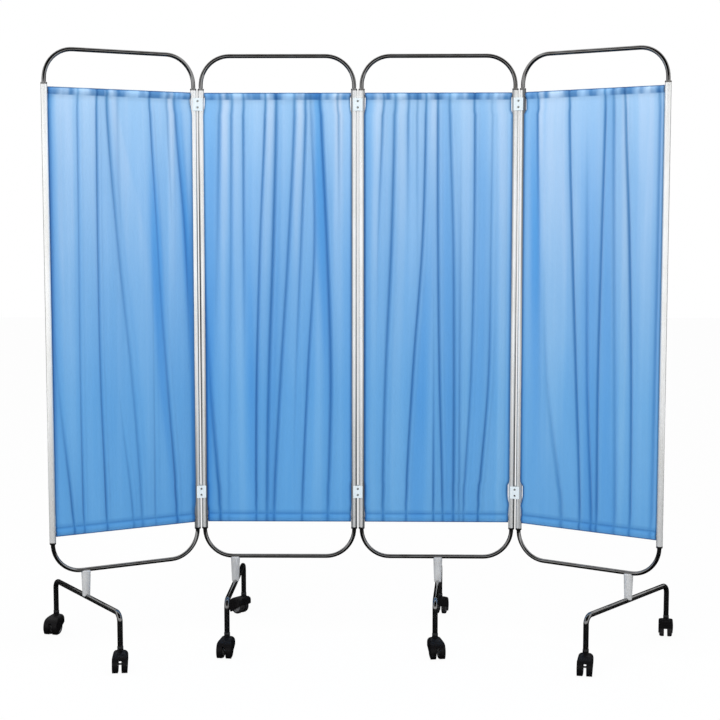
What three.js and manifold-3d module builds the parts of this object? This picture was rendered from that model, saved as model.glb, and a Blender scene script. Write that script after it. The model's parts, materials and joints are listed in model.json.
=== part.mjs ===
// A four-panel folding ward screen. Each panel is a tube frame that holds a gathered curtain
// and stands on a cross foot with two swivel casters. Neighbouring panels are joined by clips
// that turn about both of their posts. Millimetres and degrees, +Z up, the front faces -Y.
import * as THREE from 'three';
import { mergeVertices } from 'three/addons/utils/BufferGeometryUtils.js';
import Module from 'manifold-3d';

// The frame of a panel, heights from the floor
const overallHeight = 1800;
const postPitch = 467;
const hingePitch = 23;
const postRadius = 9.5;
const postWall = 1.2;
const topBowHeight = 110;
const bottomBowHeight = 93;
const bowRadius = 6.35;
const bowBendRadius = 88;
const bottomRailHeight = 250;
const collarHeight = 5;
const collarShoulder = 2;
const spigotLength = 11;
const fitClearance = 0.3;

// The curtain and its two rods
const rodRadius = 4;
const rodClearance = 0.4;
const rodEngagement = 3;
const curtainTopGap = 6;
const curtainBottomGap = 16;
const curtainEdgeGap = 2.7;
const clothThickness = 1.2;
const topPocketHeight = 22;
const bottomPocketHeight = 25;
const pocketThickness = 12.4;
const rodToSheet = 7;
const foldDepth = 6.4;
const hemFoldDepth = 3.4;

// Folds of each curtain: how many, how uneven, and how far they drift from top to bottom
const foldCounts = [9, 10, 9, 10];
const foldWarpShares = [0.035, 0.03, 0.04, 0.03];
const foldPhaseShares = [0.1, 0.45, 0.7, 0.25];
const foldDriftShares = [0.5, -0.4, 0.35, -0.55];
const foldSwellCounts = [2.3, 3.1, 2.7, 3.4];
const foldWarpCount = 1.5;
const foldSwellDriftShare = 0.3;
const foldUnevenShare = 0.32;
const foldColumns = 40;
const foldRowShares = [0, 0.07, 0.5, 0.93, 1];

// The hinge clips
const clipHeight = 38;
const clipWall = 1.4;
const clipJawReach = 3;
const upperClipDrop = 42;
const lowerClipRise = 112;

// The cross foot and its column under the bottom rail
const footBarHeight = 168;
const footHalfLength = 240;
const footBarRadius = 8;
const footBendRadius = 24;
const legBottom = 66;
const columnTopRadius = 14;
const columnBottomRadius = 11.5;
const footShares = [0.216, 0.202, 0.511, 0.794];
const footTurns = [4, -0.9, -3.4, -5.5];

// The casters: the wheels trail behind the stem, under a hood
const wheelRadius = 25;
const wheelEdge = 5;
const wheelInnerFace = 5.2;
const wheelOuterFace = 19.4;
const casterTrail = 19;
const axleRadius = 3;
const axleHalfLength = 21.8;
const hoodHalfWidth = 22;
const hoodSideWall = 1.8;
const hoodInnerRadius = 27;
const hoodOuterRadius = 30;
const hoodTop = 60;
const hoodFront = 11;
const hoodShoulderRadius = 15;
const hoodBrow = 7;
const hoodCheekHeight = 34;
const hoodCrownTurn = 70;
const hoodTailHeight = 4;
const hoodSlotTop = 40;
const neckRadius = 9;
const stemRadius = 4;
const stemLength = 28;
const stemClearance = 0.5;

// Which way each caster trails, front caster then back caster of each foot
const casterTurns = [[-84, -104], [-98, 140], [-80, 78], [-102, 80]];

// How far each panel is folded towards the front from the panel before it
const foldTurns = [30.2, 0.7, 32.7];

// Facets and the overrun of cuts
const postSides = 10;
const bowSides = 8;
const bowBendSteps = 5;
const footSides = 10;
const footBendSteps = 4;
const rodSides = 8;
const clipBoreSides = 12;
const wheelSides = 12;
const hoodArcSteps = 6;
const hoodShoulderSteps = 2;
const pocketSides = 10;
const overrun = 2;

const steel = new THREE.MeshStandardMaterial({ color: 0xd6d8d8, roughness: 0.18, metalness: 1 });
const darkSteel = new THREE.MeshStandardMaterial({ color: 0x8c8e90, roughness: 0.22, metalness: 1 });
const cloth = new THREE.MeshStandardMaterial({ color: 0x6aabe6, roughness: 0.85, metalness: 0 });
const clipPlastic = new THREE.MeshStandardMaterial({ color: 0xe4eaee, roughness: 0.4, metalness: 0 });
const blackPlastic = new THREE.MeshStandardMaterial({ color: 0x151516, roughness: 0.45, metalness: 0 });
const tyreRubber = new THREE.MeshStandardMaterial({ color: 0x1d1b1d, roughness: 0.7, metalness: 0 });

const wasm = await Module();
wasm.setup();

// Joins the shared corners of a closed geometry and drops the slivers at its poles
function closed(geometry) {
  const bare = geometry.clone();
  bare.deleteAttribute('normal');
  bare.deleteAttribute('uv');
  const merged = mergeVertices(bare);
  const kept = [];
  const index = merged.index.array;
  for (let i = 0; i < index.length; i += 3) {
    const [a, b, c] = [index[i], index[i + 1], index[i + 2]];
    if (a !== b && b !== c && c !== a) kept.push(a, b, c);
  }
  merged.setIndex(kept);
  return merged;
}

function solidOf(geometry) {
  const merged = closed(geometry);
  const vertProperties = new Float32Array(merged.attributes.position.array);
  const triVerts = new Uint32Array(merged.index.array);
  return new wasm.Manifold(new wasm.Mesh({ numProp: 3, vertProperties, triVerts }));
}

function geometryOf(solid) {
  const mesh = solid.getMesh();
  const geometry = new THREE.BufferGeometry();
  geometry.setAttribute('position', new THREE.BufferAttribute(new Float32Array(mesh.vertProperties), 3));
  geometry.setIndex(new THREE.BufferAttribute(new Uint32Array(mesh.triVerts), 1));
  geometry.computeVertexNormals();
  return geometry;
}

function radians(degrees) {
  return THREE.MathUtils.degToRad(degrees);
}

// The radius at the corners of a regular outline whose flats lie at the given radius
function cornerRadius(flatRadius, sides) {
  return flatRadius / Math.cos(Math.PI / sides);
}

// A turned piece from a profile of [radius, place along the axis] points, with a flat facing
// -Z where it turns about Y
function turnedAboutY(profile, sides) {
  const points = profile.map(([radius, place]) => new THREE.Vector2(radius, place));
  return new THREE.LatheGeometry(points, sides, Math.PI / sides);
}

function turned(profile, sides) {
  return turnedAboutY(profile, sides).rotateX(Math.PI / 2).rotateZ(Math.PI / sides);
}

// The centre line of a bent tube: sections stand only at its ends and round its bends
class BentRoute extends THREE.Curve {
  constructor(corners, bendRadius, bendSteps) {
    super();
    const last = corners.length - 1;
    this.stations = [];
    corners.forEach((corner, i) => {
      const arriving = corner.clone().sub(corners[Math.max(i - 1, 0)]).normalize();
      const leaving = corners[Math.min(i + 1, last)].clone().sub(corner).normalize();
      if (i === 0 || i === last) {
        this.stations.push({ point: corner.clone(), tangent: i === 0 ? leaving : arriving });
        return;
      }
      const bend = arriving.angleTo(leaving);
      const inward = leaving.clone().addScaledVector(arriving, -Math.cos(bend)).normalize();
      const start = corner.clone().addScaledVector(arriving, -bendRadius * Math.tan(bend / 2));
      for (let step = 0; step <= bendSteps; step += 1) {
        const turn = (bend * step) / bendSteps;
        const point = start.clone().addScaledVector(arriving, bendRadius * Math.sin(turn));
        point.addScaledVector(inward, bendRadius * (1 - Math.cos(turn)));
        const tangent = arriving.clone().multiplyScalar(Math.cos(turn));
        tangent.addScaledVector(inward, Math.sin(turn));
        this.stations.push({ point, tangent });
      }
    });
  }

  stationAt(share) {
    return this.stations[Math.round(share * (this.stations.length - 1))];
  }

  getPointAt(share, target = new THREE.Vector3()) {
    return target.copy(this.stationAt(share).point);
  }

  getTangentAt(share, target = new THREE.Vector3()) {
    return target.copy(this.stationAt(share).tangent);
  }
}

function bentTube(corners, bendRadius, bendSteps, radius, sides) {
  const extrudePath = new BentRoute(corners, bendRadius, bendSteps);
  const section = new THREE.Shape();
  section.absarc(0, 0, radius, 0, Math.PI * 2);
  const steps = extrudePath.stations.length - 1;
  return new THREE.ExtrudeGeometry(section, { steps, curveSegments: sides / 2, extrudePath });
}

// A round bar centred on the origin, along X or along Y
function barAlongX(radius, length, sides) {
  return new THREE.CylinderGeometry(radius, radius, length, sides).rotateZ(Math.PI / 2);
}

function barAlongY(radius, length, sides) {
  return new THREE.CylinderGeometry(radius, radius, length, sides);
}

// Sizes that several pieces share
const topRailHeight = overallHeight - bowRadius;
const postTop = overallHeight - topBowHeight;
const postBottom = bottomRailHeight + bottomBowHeight;
const postInnerRadius = postRadius - postWall;
const topRodHeight = postTop - curtainTopGap - topPocketHeight / 2;
const bottomRodHeight = postBottom + curtainBottomGap + bottomPocketHeight / 2;
const rodHoleRadius = rodRadius + rodClearance;

// A post is an open tube with a hole through its +X wall for each rod. Its frame is its foot.
function postGeometry() {
  const length = postTop - postBottom;
  const wall = [
    [postInnerRadius, 0],
    [postRadius, 0],
    [postRadius, length],
    [postInnerRadius, length],
    [postInnerRadius, 0],
  ];
  const holeLength = postRadius + overrun;
  let post = solidOf(turned(wall, postSides));
  for (const height of [topRodHeight, bottomRodHeight]) {
    const hole = barAlongX(rodHoleRadius, holeLength, rodSides);
    post = post.subtract(solidOf(hole.translate(holeLength / 2, 0, height - postBottom)));
  }
  return geometryOf(post);
}

// A bow ends in two collars, each with a spigot that plugs into a post. Its frame is the
// middle of the panel at the ends of the posts, and its rail lies at the given rise above it.
function bowGeometry(rise) {
  const halfPitch = postPitch / 2;
  const tubeStart = -spigotLength / 2;
  const corners = [
    new THREE.Vector3(-halfPitch, 0, tubeStart),
    new THREE.Vector3(-halfPitch, 0, rise),
    new THREE.Vector3(halfPitch, 0, rise),
    new THREE.Vector3(halfPitch, 0, tubeStart),
  ];
  const spigotRadius = postInnerRadius * Math.cos(Math.PI / postSides) - fitClearance;
  const collar = [
    [0, -spigotLength],
    [spigotRadius, -spigotLength],
    [spigotRadius, fitClearance],
    [postRadius, fitClearance],
    [postRadius, fitClearance + collarHeight],
    [bowRadius - collarShoulder, fitClearance + collarHeight + collarShoulder],
    [0, fitClearance + collarHeight + collarShoulder],
  ];
  let bow = solidOf(bentTube(corners, bowBendRadius, bowBendSteps, bowRadius, bowSides));
  for (const x of [-halfPitch, halfPitch]) {
    bow = bow.add(solidOf(turned(collar, bowSides).translate(x, 0, 0)));
  }
  return geometryOf(bow);
}

function rodGeometry() {
  return closed(barAlongX(rodRadius, postPitch - 2 * (postRadius - rodEngagement), rodSides));
}

// How far the cloth stands in front of or behind its plane, across and up a curtain.
// across runs from 0 at the left edge to 1 at the right, up from 0 at the hem to 1 at the top.
function foldOffset(panelIndex, across, up) {
  const turns = 2 * Math.PI;
  const phase = foldPhaseShares[panelIndex];
  const warped = across + foldWarpShares[panelIndex] * Math.sin(turns * (foldWarpCount * across + phase));
  const drift = foldDriftShares[panelIndex] * up * Math.sin(Math.PI * across);
  const wave = Math.sin(turns * (foldCounts[panelIndex] * warped + drift + phase));
  const swell = Math.sin(turns * (foldSwellCounts[panelIndex] * across - phase + foldSwellDriftShare * up));
  const depth = hemFoldDepth + (foldDepth - hemFoldDepth) * Math.sqrt(Math.sin(Math.PI * up));
  return depth * wave * (1 - foldUnevenShare + foldUnevenShare * swell);
}

// A flat sheet in the plane of X and Z. Its two faces are split along the same diagonals, so
// that they stay apart however the sheet is folded.
function flatSheet(width, height, columns, rows) {
  const sheet = new THREE.BoxGeometry(width, clothThickness, height, columns, 1, rows);
  const corners = sheet.index.array;
  const isFront = (group) => sheet.attributes.normal.getY(corners[group.start]) < 0;
  const { start, count } = sheet.groups.find(isFront);
  for (let i = start; i < start + count; i += 6) {
    const [a, b, c, d] = [corners[i], corners[i + 1], corners[i + 4], corners[i + 2]];
    corners.set([a, b, c, a, c, d], i);
  }
  return sheet;
}

// A flattened sleeve along X that a rod runs through
function pocketGeometry(width, height) {
  const outline = new THREE.Shape();
  outline.absellipse(0, 0, height / 2, pocketThickness / 2, 0, Math.PI * 2);
  const settings = { depth: width, bevelEnabled: false, curveSegments: pocketSides / 2 };
  return new THREE.ExtrudeGeometry(outline, settings).rotateY(Math.PI / 2).translate(-width / 2, 0, 0);
}

// A curtain: one folded sheet between two pockets, both open to their rods from end to end.
// Its frame is the middle of the panel at floor height.
function curtainGeometry(panelIndex) {
  const width = postPitch - 2 * (postRadius + curtainEdgeGap);
  const sheetBottom = bottomRodHeight + rodToSheet;
  const drop = topRodHeight - rodToSheet - sheetBottom;
  const rows = foldRowShares.length - 1;
  const sheet = flatSheet(width, drop, foldColumns, rows);
  const position = sheet.attributes.position;
  for (let i = 0; i < position.count; i += 1) {
    const across = position.getX(i) / width + 1 / 2;
    const up = foldRowShares[Math.round((position.getZ(i) / drop + 1 / 2) * rows)];
    position.setY(i, position.getY(i) + foldOffset(panelIndex, across, up));
    position.setZ(i, sheetBottom + drop * up);
  }
  const boreRadius = cornerRadius(rodHoleRadius, rodSides);
  const pockets = [[topRodHeight, topPocketHeight], [bottomRodHeight, bottomPocketHeight]];
  let curtain = solidOf(sheet);
  for (const [height, pocketHeight] of pockets) {
    curtain = curtain.add(solidOf(pocketGeometry(width, pocketHeight).translate(0, 0, height)));
  }
  for (const [height] of pockets) {
    const bore = barAlongX(boreRadius, width + 2 * overrun, rodSides);
    curtain = curtain.subtract(solidOf(bore.translate(0, 0, height)));
  }
  return geometryOf(curtain);
}

// A clip holds two neighbouring posts, the first at the origin and the second at +X. It fills
// the space between them, and its jaws reach a little past their axes.
function clipGeometry() {
  const boreRadius = cornerRadius(postRadius + fitClearance, clipBoreSides);
  const halfDepth = postRadius + fitClearance + clipWall;
  const mouthTurn = Math.acos(clipJawReach / boreRadius);
  const farEnd = hingePitch + clipJawReach;
  const outline = new THREE.Shape();
  outline.moveTo(-clipJawReach, -halfDepth);
  outline.lineTo(farEnd, -halfDepth);
  outline.absarc(hingePitch, 0, boreRadius, -mouthTurn, mouthTurn, true);
  outline.lineTo(farEnd, halfDepth);
  outline.lineTo(-clipJawReach, halfDepth);
  outline.absarc(0, 0, boreRadius, Math.PI - mouthTurn, Math.PI + mouthTurn, true);
  outline.closePath();
  const curveSegments = Math.ceil(clipBoreSides * (1 - mouthTurn / Math.PI));
  const settings = { depth: clipHeight, bevelEnabled: false, curveSegments };
  return closed(new THREE.ExtrudeGeometry(outline, settings).translate(0, 0, -clipHeight / 2));
}

// The cross foot: one tube bent down at both ends, each end bored for a caster's stem.
// Its frame is the middle of the bar at floor height, with the bar along Y.
function footBarGeometry() {
  const corners = [
    new THREE.Vector3(0, -footHalfLength, legBottom),
    new THREE.Vector3(0, -footHalfLength, footBarHeight),
    new THREE.Vector3(0, footHalfLength, footBarHeight),
    new THREE.Vector3(0, footHalfLength, legBottom),
  ];
  const socketRadius = cornerRadius(stemRadius + stemClearance, rodSides);
  const socketLength = stemLength + 2 * overrun;
  const socketMiddle = legBottom - overrun + socketLength / 2;
  let bar = solidOf(bentTube(corners, footBendRadius, footBendSteps, footBarRadius, footSides));
  for (const y of [-footHalfLength, footHalfLength]) {
    const socket = barAlongY(socketRadius, socketLength, rodSides).rotateX(Math.PI / 2);
    bar = bar.subtract(solidOf(socket.translate(0, y, socketMiddle)));
  }
  return geometryOf(bar);
}

// The column between a foot bar and the bottom rail, coped over both. Its frame is its own
// axis at floor height with the rail along X, and the bar is turned from Y by footTurn.
function columnGeometry(footTurn) {
  const profile = [
    [0, footBarHeight],
    [columnBottomRadius, footBarHeight],
    [columnTopRadius, bottomRailHeight],
    [0, bottomRailHeight],
  ];
  const reach = 2 * (columnTopRadius + overrun);
  const bar = barAlongY(cornerRadius(footBarRadius + fitClearance, footSides), reach, footSides);
  const rail = barAlongX(cornerRadius(bowRadius + fitClearance, bowSides), reach, bowSides);
  bar.rotateZ(radians(footTurn)).translate(0, 0, footBarHeight);
  rail.translate(0, 0, bottomRailHeight);
  return geometryOf(solidOf(turned(profile, footSides)).subtract(solidOf(bar)).subtract(solidOf(rail)));
}

// The outline of a hood from the side: brow in front, round over the wheels, low at the tail
function hoodSide() {
  const tailTurn = -Math.asin((wheelRadius - hoodTailHeight) / hoodOuterRadius);
  const side = new THREE.Shape();
  side.moveTo(-hoodFront, hoodCheekHeight);
  side.lineTo(-hoodFront, hoodTop - hoodBrow);
  side.lineTo(-hoodFront + hoodBrow, hoodTop);
  side.lineTo(neckRadius, hoodTop);
  side.absarc(casterTrail, wheelRadius, hoodOuterRadius, radians(hoodCrownTurn), tailTurn, true);
  side.closePath();
  return side;
}

// The outline of a hood from the front: upright sides and round shoulders
function hoodFace() {
  const shoulderX = hoodHalfWidth - hoodShoulderRadius;
  const shoulderZ = hoodTop - hoodShoulderRadius;
  const face = new THREE.Shape();
  face.moveTo(-hoodHalfWidth, 0);
  face.lineTo(hoodHalfWidth, 0);
  face.absarc(shoulderX, shoulderZ, hoodShoulderRadius, 0, Math.PI / 2);
  face.absarc(-shoulderX, shoulderZ, hoodShoulderRadius, Math.PI / 2, Math.PI);
  face.closePath();
  return face;
}

// A caster's hood, neck and stem. Its frame is the stem's axis at floor height, and the
// wheels trail towards +X. The hood is hollow for the wheels and slotted between them.
function housingGeometry() {
  const width = 2 * hoodHalfWidth;
  const length = hoodFront + casterTrail + hoodOuterRadius + 2 * overrun;
  const sideSettings = { depth: width, bevelEnabled: false, curveSegments: hoodArcSteps };
  const faceSettings = { depth: length, bevelEnabled: false, curveSegments: hoodShoulderSteps };
  const sideBlock = new THREE.ExtrudeGeometry(hoodSide(), sideSettings);
  const faceBlock = new THREE.ExtrudeGeometry(hoodFace(), faceSettings);
  sideBlock.rotateX(Math.PI / 2).translate(0, width / 2, 0);
  faceBlock.rotateX(Math.PI / 2).rotateZ(Math.PI / 2).translate(-hoodFront - overrun, 0, 0);

  const wellRadius = cornerRadius(hoodInnerRadius, wheelSides);
  const wellHalfWidth = hoodHalfWidth - hoodSideWall;
  const well = turnedAboutY([
    [0, -wellHalfWidth],
    [wellRadius - wheelEdge, -wellHalfWidth],
    [wellRadius, wheelEdge - wellHalfWidth],
    [wellRadius, wellHalfWidth - wheelEdge],
    [wellRadius - wheelEdge, wellHalfWidth],
    [0, wellHalfWidth],
  ], wheelSides);
  const holeRadius = cornerRadius(axleRadius + fitClearance, wheelSides);
  const axleHole = barAlongY(holeRadius, width + 2 * overrun, wheelSides);
  const slotLength = hoodOuterRadius + overrun;
  const slot = new THREE.BoxGeometry(slotLength, 2 * wheelInnerFace, hoodSlotTop);
  well.translate(casterTrail, 0, wheelRadius);
  axleHole.translate(casterTrail, 0, wheelRadius);
  slot.translate(casterTrail + slotLength / 2, 0, hoodSlotTop / 2);

  const neckTop = legBottom - fitClearance;
  const neck = [
    [0, hoodTop - hoodBrow],
    [neckRadius, hoodTop - hoodBrow],
    [neckRadius, neckTop],
    [stemRadius, neckTop],
    [stemRadius, legBottom + stemLength],
    [0, legBottom + stemLength],
  ];
  let housing = solidOf(sideBlock).intersect(solidOf(faceBlock));
  for (const cut of [well, axleHole, slot]) {
    housing = housing.subtract(solidOf(cut));
  }
  return geometryOf(housing.add(solidOf(turned(neck, rodSides))));
}

// A pair of wheels on one axle along Y, centred on the axle, with a flat of the tread below
function wheelsGeometry() {
  const treadRadius = cornerRadius(wheelRadius, wheelSides);
  const half = [
    [0, axleHalfLength],
    [axleRadius, axleHalfLength],
    [axleRadius, wheelOuterFace],
    [treadRadius - wheelEdge, wheelOuterFace],
    [treadRadius, wheelOuterFace - wheelEdge],
    [treadRadius, wheelInnerFace],
    [axleRadius, wheelInnerFace],
  ];
  const otherHalf = half.map(([radius, y]) => [radius, -y]);
  return closed(turnedAboutY([...otherHalf, ...half.reverse()], wheelSides));
}

const shared = {
  post: postGeometry(),
  topBow: bowGeometry(topRailHeight - postTop),
  bottomBow: bowGeometry(postBottom - bottomRailHeight),
  rod: rodGeometry(),
  clip: clipGeometry(),
  footBar: footBarGeometry(),
  housing: housingGeometry(),
  wheels: wheelsGeometry(),
};

function piece(name, geometry, material, x = 0, y = 0, z = 0) {
  const mesh = new THREE.Mesh(geometry, material);
  mesh.name = name;
  mesh.position.set(x, y, z);
  return mesh;
}

// The direction of each panel, from its left post to its right one, seen from above
const panelTurns = [foldTurns[0], 0, -foldTurns[1], -foldTurns[1] - foldTurns[2]];

// A caster under one end of a foot, turned so that its wheels trail in their own direction
function caster(number, place, carrierTurn) {
  const assembly = new THREE.Group();
  const [frontTurn, backTurn] = casterTurns[number - 1];
  const isFront = place === 'front';
  const name = `caster_${number}_${place}`;
  assembly.add(piece(`${name}_housing`, shared.housing, blackPlastic));
  assembly.add(piece(`${name}_wheels`, shared.wheels, tyreRubber, casterTrail, 0, wheelRadius));
  assembly.position.y = isFront ? -footHalfLength : footHalfLength;
  assembly.rotation.z = radians((isFront ? frontTurn : backTurn) - carrierTurn);
  return assembly;
}

function foot(number) {
  const footTurn = footTurns[number - 1];
  const carrierTurn = panelTurns[number - 1] + footTurn;
  const assembly = new THREE.Group();
  assembly.add(piece(`panel_${number}_foot_bar`, shared.footBar, darkSteel));
  assembly.add(caster(number, 'front', carrierTurn), caster(number, 'back', carrierTurn));
  assembly.rotation.z = radians(footTurn);
  return assembly;
}

// One panel on its foot, with the axis of its left post at leftPost along its own X
function panel(number, leftPost) {
  const assembly = new THREE.Group();
  const name = `panel_${number}`;
  const middle = leftPost + postPitch / 2;
  const rightPost = leftPost + postPitch;
  const footPlace = leftPost + footShares[number - 1] * postPitch;
  const rightPiece = piece(`${name}_right_post`, shared.post, steel, rightPost, 0, postBottom);
  const bottomBow = piece(`${name}_bottom_bow`, shared.bottomBow, darkSteel, middle, 0, postBottom);
  const footPiece = foot(number);
  const column = columnGeometry(footTurns[number - 1]);
  rightPiece.rotation.z = Math.PI;
  bottomBow.rotation.x = Math.PI;
  footPiece.position.x = footPlace;
  assembly.add(piece(`${name}_left_post`, shared.post, steel, leftPost, 0, postBottom));
  assembly.add(rightPiece);
  assembly.add(piece(`${name}_top_bow`, shared.topBow, darkSteel, middle, 0, postTop));
  assembly.add(bottomBow);
  assembly.add(piece(`${name}_top_rod`, shared.rod, steel, middle, 0, topRodHeight));
  assembly.add(piece(`${name}_bottom_rod`, shared.rod, steel, middle, 0, bottomRodHeight));
  assembly.add(piece(`${name}_curtain`, curtainGeometry(number - 1), cloth, middle));
  assembly.add(piece(`${name}_foot_column`, column, steel, footPlace));
  assembly.add(footPiece);
  return assembly;
}

// Hangs the next panel on a post of the carrier: the clips turn half the fold about that
// post, and the next panel turns the other half about its own. side is 1 for a panel to the
// right of the carrier and -1 for one to the left.
function hang(next, carrier, postX, name, fold, side) {
  const halfFold = radians((-side * fold) / 2);
  const clips = new THREE.Group();
  const heights = { upper: postTop - upperClipDrop, lower: postBottom + lowerClipRise };
  for (const [place, height] of Object.entries(heights)) {
    const clip = piece(`${name}_${place}_clip`, shared.clip, clipPlastic, 0, 0, height);
    clip.rotation.z = side > 0 ? 0 : Math.PI;
    clips.add(clip);
  }
  clips.position.x = postX;
  clips.rotation.z = halfFold;
  next.position.x = side * hingePitch;
  next.rotation.z = halfFold;
  clips.add(next);
  carrier.add(clips);
}

const panels = [panel(1, -postPitch), panel(2, 0), panel(3, 0), panel(4, 0)];
hang(panels[0], panels[1], 0, 'hinge_12', foldTurns[0], -1);
hang(panels[2], panels[1], postPitch, 'hinge_23', foldTurns[1], 1);
hang(panels[3], panels[2], postPitch, 'hinge_34', foldTurns[2], 1);

// The screen's origin is on the floor at the middle of the space that it takes up
const screen = new THREE.Group();
screen.add(panels[1]);
screen.updateMatrixWorld(true);
const space = new THREE.Box3().setFromObject(screen, true);
const middleOfSpace = space.getCenter(new THREE.Vector3());
screen.position.set(-middleOfSpace.x, -middleOfSpace.y, -space.min.z);

export default screen;
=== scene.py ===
import json
import math

import bmesh
import bpy
from mathutils import Matrix, Vector


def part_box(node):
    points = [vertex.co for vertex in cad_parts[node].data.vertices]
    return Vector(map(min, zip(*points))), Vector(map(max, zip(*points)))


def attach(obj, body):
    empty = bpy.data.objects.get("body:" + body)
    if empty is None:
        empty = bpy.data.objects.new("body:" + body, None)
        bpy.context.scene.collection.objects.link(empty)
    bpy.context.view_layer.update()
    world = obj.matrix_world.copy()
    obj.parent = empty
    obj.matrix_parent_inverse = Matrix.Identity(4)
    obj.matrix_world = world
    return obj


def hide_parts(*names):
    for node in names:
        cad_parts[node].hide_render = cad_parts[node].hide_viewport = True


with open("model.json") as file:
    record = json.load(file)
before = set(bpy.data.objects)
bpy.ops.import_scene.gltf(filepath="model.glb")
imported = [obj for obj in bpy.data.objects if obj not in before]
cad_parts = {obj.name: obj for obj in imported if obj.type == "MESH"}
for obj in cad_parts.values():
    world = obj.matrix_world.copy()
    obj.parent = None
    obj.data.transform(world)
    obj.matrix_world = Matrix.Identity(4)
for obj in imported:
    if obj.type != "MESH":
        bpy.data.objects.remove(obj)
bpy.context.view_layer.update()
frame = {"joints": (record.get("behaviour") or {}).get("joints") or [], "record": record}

MM = 0.001
SHARP_DEGREES = 32
PANELS = (1, 2, 3, 4)
ENDS = ("front", "back")
HINGES = ("hinge_12", "hinge_23", "hinge_34")
BODY_OF = {
    node: body
    for body, nodes in frame["record"]["behaviour"]["bodies"].items()
    for node in nodes
}

# The frame of a panel, in millimetres, heights from the floor
POST_PITCH = 467
HINGE_PITCH = 23
POST_RADIUS = 9.5
POST_WALL = 1.2
POST_RIM = 0.5
POST_BOTTOM = 343
POST_TOP = 1690
BOW_RADIUS = 6.35
BOW_BEND = 88
TOP_RAIL = 1793.65
BOTTOM_RAIL = 250
SPIGOT = 11
SPIGOT_RADIUS = 7.5
SEAT_GAP = 0.3
ROD_RADIUS = 4
ROD_RIM = 0.5
ROD_ENGAGEMENT = 3
TOP_ROD = 1673
BOTTOM_ROD = 371.5

# The curtain: its seams, its folds over the rods, and its edges beside the posts and the clips
CURTAIN_HALF = 223.5
CLOTH_THICKNESS = 0.5
HEM_SEAM = 384.5
TOP_SEAM = 1661.5
SEAM_DEPTH = -0.7
SEAM_LINE = 4
SEAM_SHADE = 0.7
HEM_FOLD = 359.5
HEAD_FOLD = 1683.6
EDGE_LAP = 2.3
EDGE_FORWARD = 6.2
EDGE_CURL = 15
CURL_START = 4
CURL_RISE = 40
CLIP_CLEARANCE = 3
CLIP_BLEND = 8
CLIP_LAP_LOSS = 1.6
CLIP_TUCK = 1.9
CLIP_LEAN = 1.6
SIDES_WITH_CLIPS = {1: (1,), 2: (-1, 1), 3: (-1, 1), 4: (-1,)}
SIDES_FOLDED_FLAT = {3: (1,), 4: (-1,)}

# The cross foot and its column
FOOT_BAR = 168
FOOT_HALF = 240
FOOT_RADIUS = 8
FOOT_BEND = 24
LEG_BOTTOM = 66
COLUMN_TOP = 14
COLUMN_BOTTOM = 11.5

# The casters
WHEEL_RADIUS = 25
WHEEL_INNER = 5.2
WHEEL_OUTER = 19.4
AXLE_RADIUS = 2.8
AXLE_HALF = 21.2
TRAIL = 19
HOOD_HALF = 22
HOOD_WALL = 1.8
HOOD_OUTER = 30
HOOD_WELL = 27
HOOD_TOP = 60
HOOD_FRONT = 11
HOOD_BROW = 7
HOOD_CHEEK = 34
HOOD_SHOULDER = 15
HOOD_SKIRT = 4
HOOD_CROWN = 70
HOOD_SLOT = 40
SLOT_REACH = 34
NECK_RADIUS = 9
STEM_RADIUS = 4
STEM_LENGTH = 27
CAP_SEAT = 0.4

# The clips
CLIP_HEIGHT = 38
CLIP_GAP = 0.3
CLIP_WALL = 1.4
CLIP_REACH = 3
CLIP_ROUNDING = 0.6
CLIP_EDGE_DEGREES = 40


# Where the pieces stand


def middle(node):
    low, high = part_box(node)
    return (low + high) / 2


def upright(at, turn):
    return Matrix.Translation((at.x, at.y, 0)) @ Matrix.Rotation(turn, 4, "Z")


def heading(start, end):
    return math.atan2(end.y - start.y, end.x - start.x)


def panel_place(number):
    left = middle(f"panel_{number}_left_post")
    right = middle(f"panel_{number}_right_post")
    centre = (left + right) / 2
    return upright(centre, heading(left, right))


def joint_place(name):
    joint = next(j for j in frame["joints"] if j["name"] == name)
    return Vector(joint["pos_m"])


def foot_place(number):
    front = joint_place(f"caster_{number}_front_swivel")
    back = joint_place(f"caster_{number}_back_swivel")
    centre = (front + back) / 2
    return upright(centre, heading(front, back) - math.pi / 2)


def column_place(number):
    foot = foot_place(number)
    turn = panel_place(number).to_euler().z
    return upright(foot.translation, turn)


def caster_place(number, end):
    stem = joint_place(f"caster_{number}_{end}_swivel")
    axle = joint_place(f"caster_{number}_{end}_roll")
    return upright(stem, heading(stem, axle))


def hinge_place(name):
    carrier = joint_place(f"{name}_clip_turn")
    follower = joint_place(f"{name}_fold")
    return upright(carrier, heading(carrier, follower))


# Shaping tools. Shapes are drawn in millimetres and brought to metres when they are finished


def moved(x=0, y=0, z=0):
    return Matrix.Translation((x, y, z))


def only(kind, geometry):
    return [part for part in geometry if isinstance(part, kind)]


def turned(shape, profile, steps=32, axis="Z", place=None):
    """A turned solid from a profile of (radius, place along the axis) points."""
    verts = [shape.verts.new((radius, 0, along)) for radius, along in profile]
    edges = [shape.edges.new(pair) for pair in zip(verts, verts[1:])]
    if profile[0][0] > 0 and profile[-1][0] > 0:
        edges.append(shape.edges.new((verts[-1], verts[0])))
    before = set(shape.verts) - set(verts)
    bmesh.ops.spin(
        shape, geom=verts + edges, cent=(0, 0, 0), axis=(0, 0, 1), dvec=(0, 0, 0),
        angle=math.tau, steps=steps, use_merge=True,
    )
    fresh = [v for v in shape.verts if v not in before]
    bmesh.ops.remove_doubles(shape, verts=fresh, dist=0.0005)
    fresh = [v for v in shape.verts if v not in before]
    turn = Matrix.Rotation(-math.pi / 2, 4, "X") if axis == "Y" else Matrix.Identity(4)
    bmesh.ops.transform(shape, matrix=(place or Matrix.Identity(4)) @ turn, verts=fresh)


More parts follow.
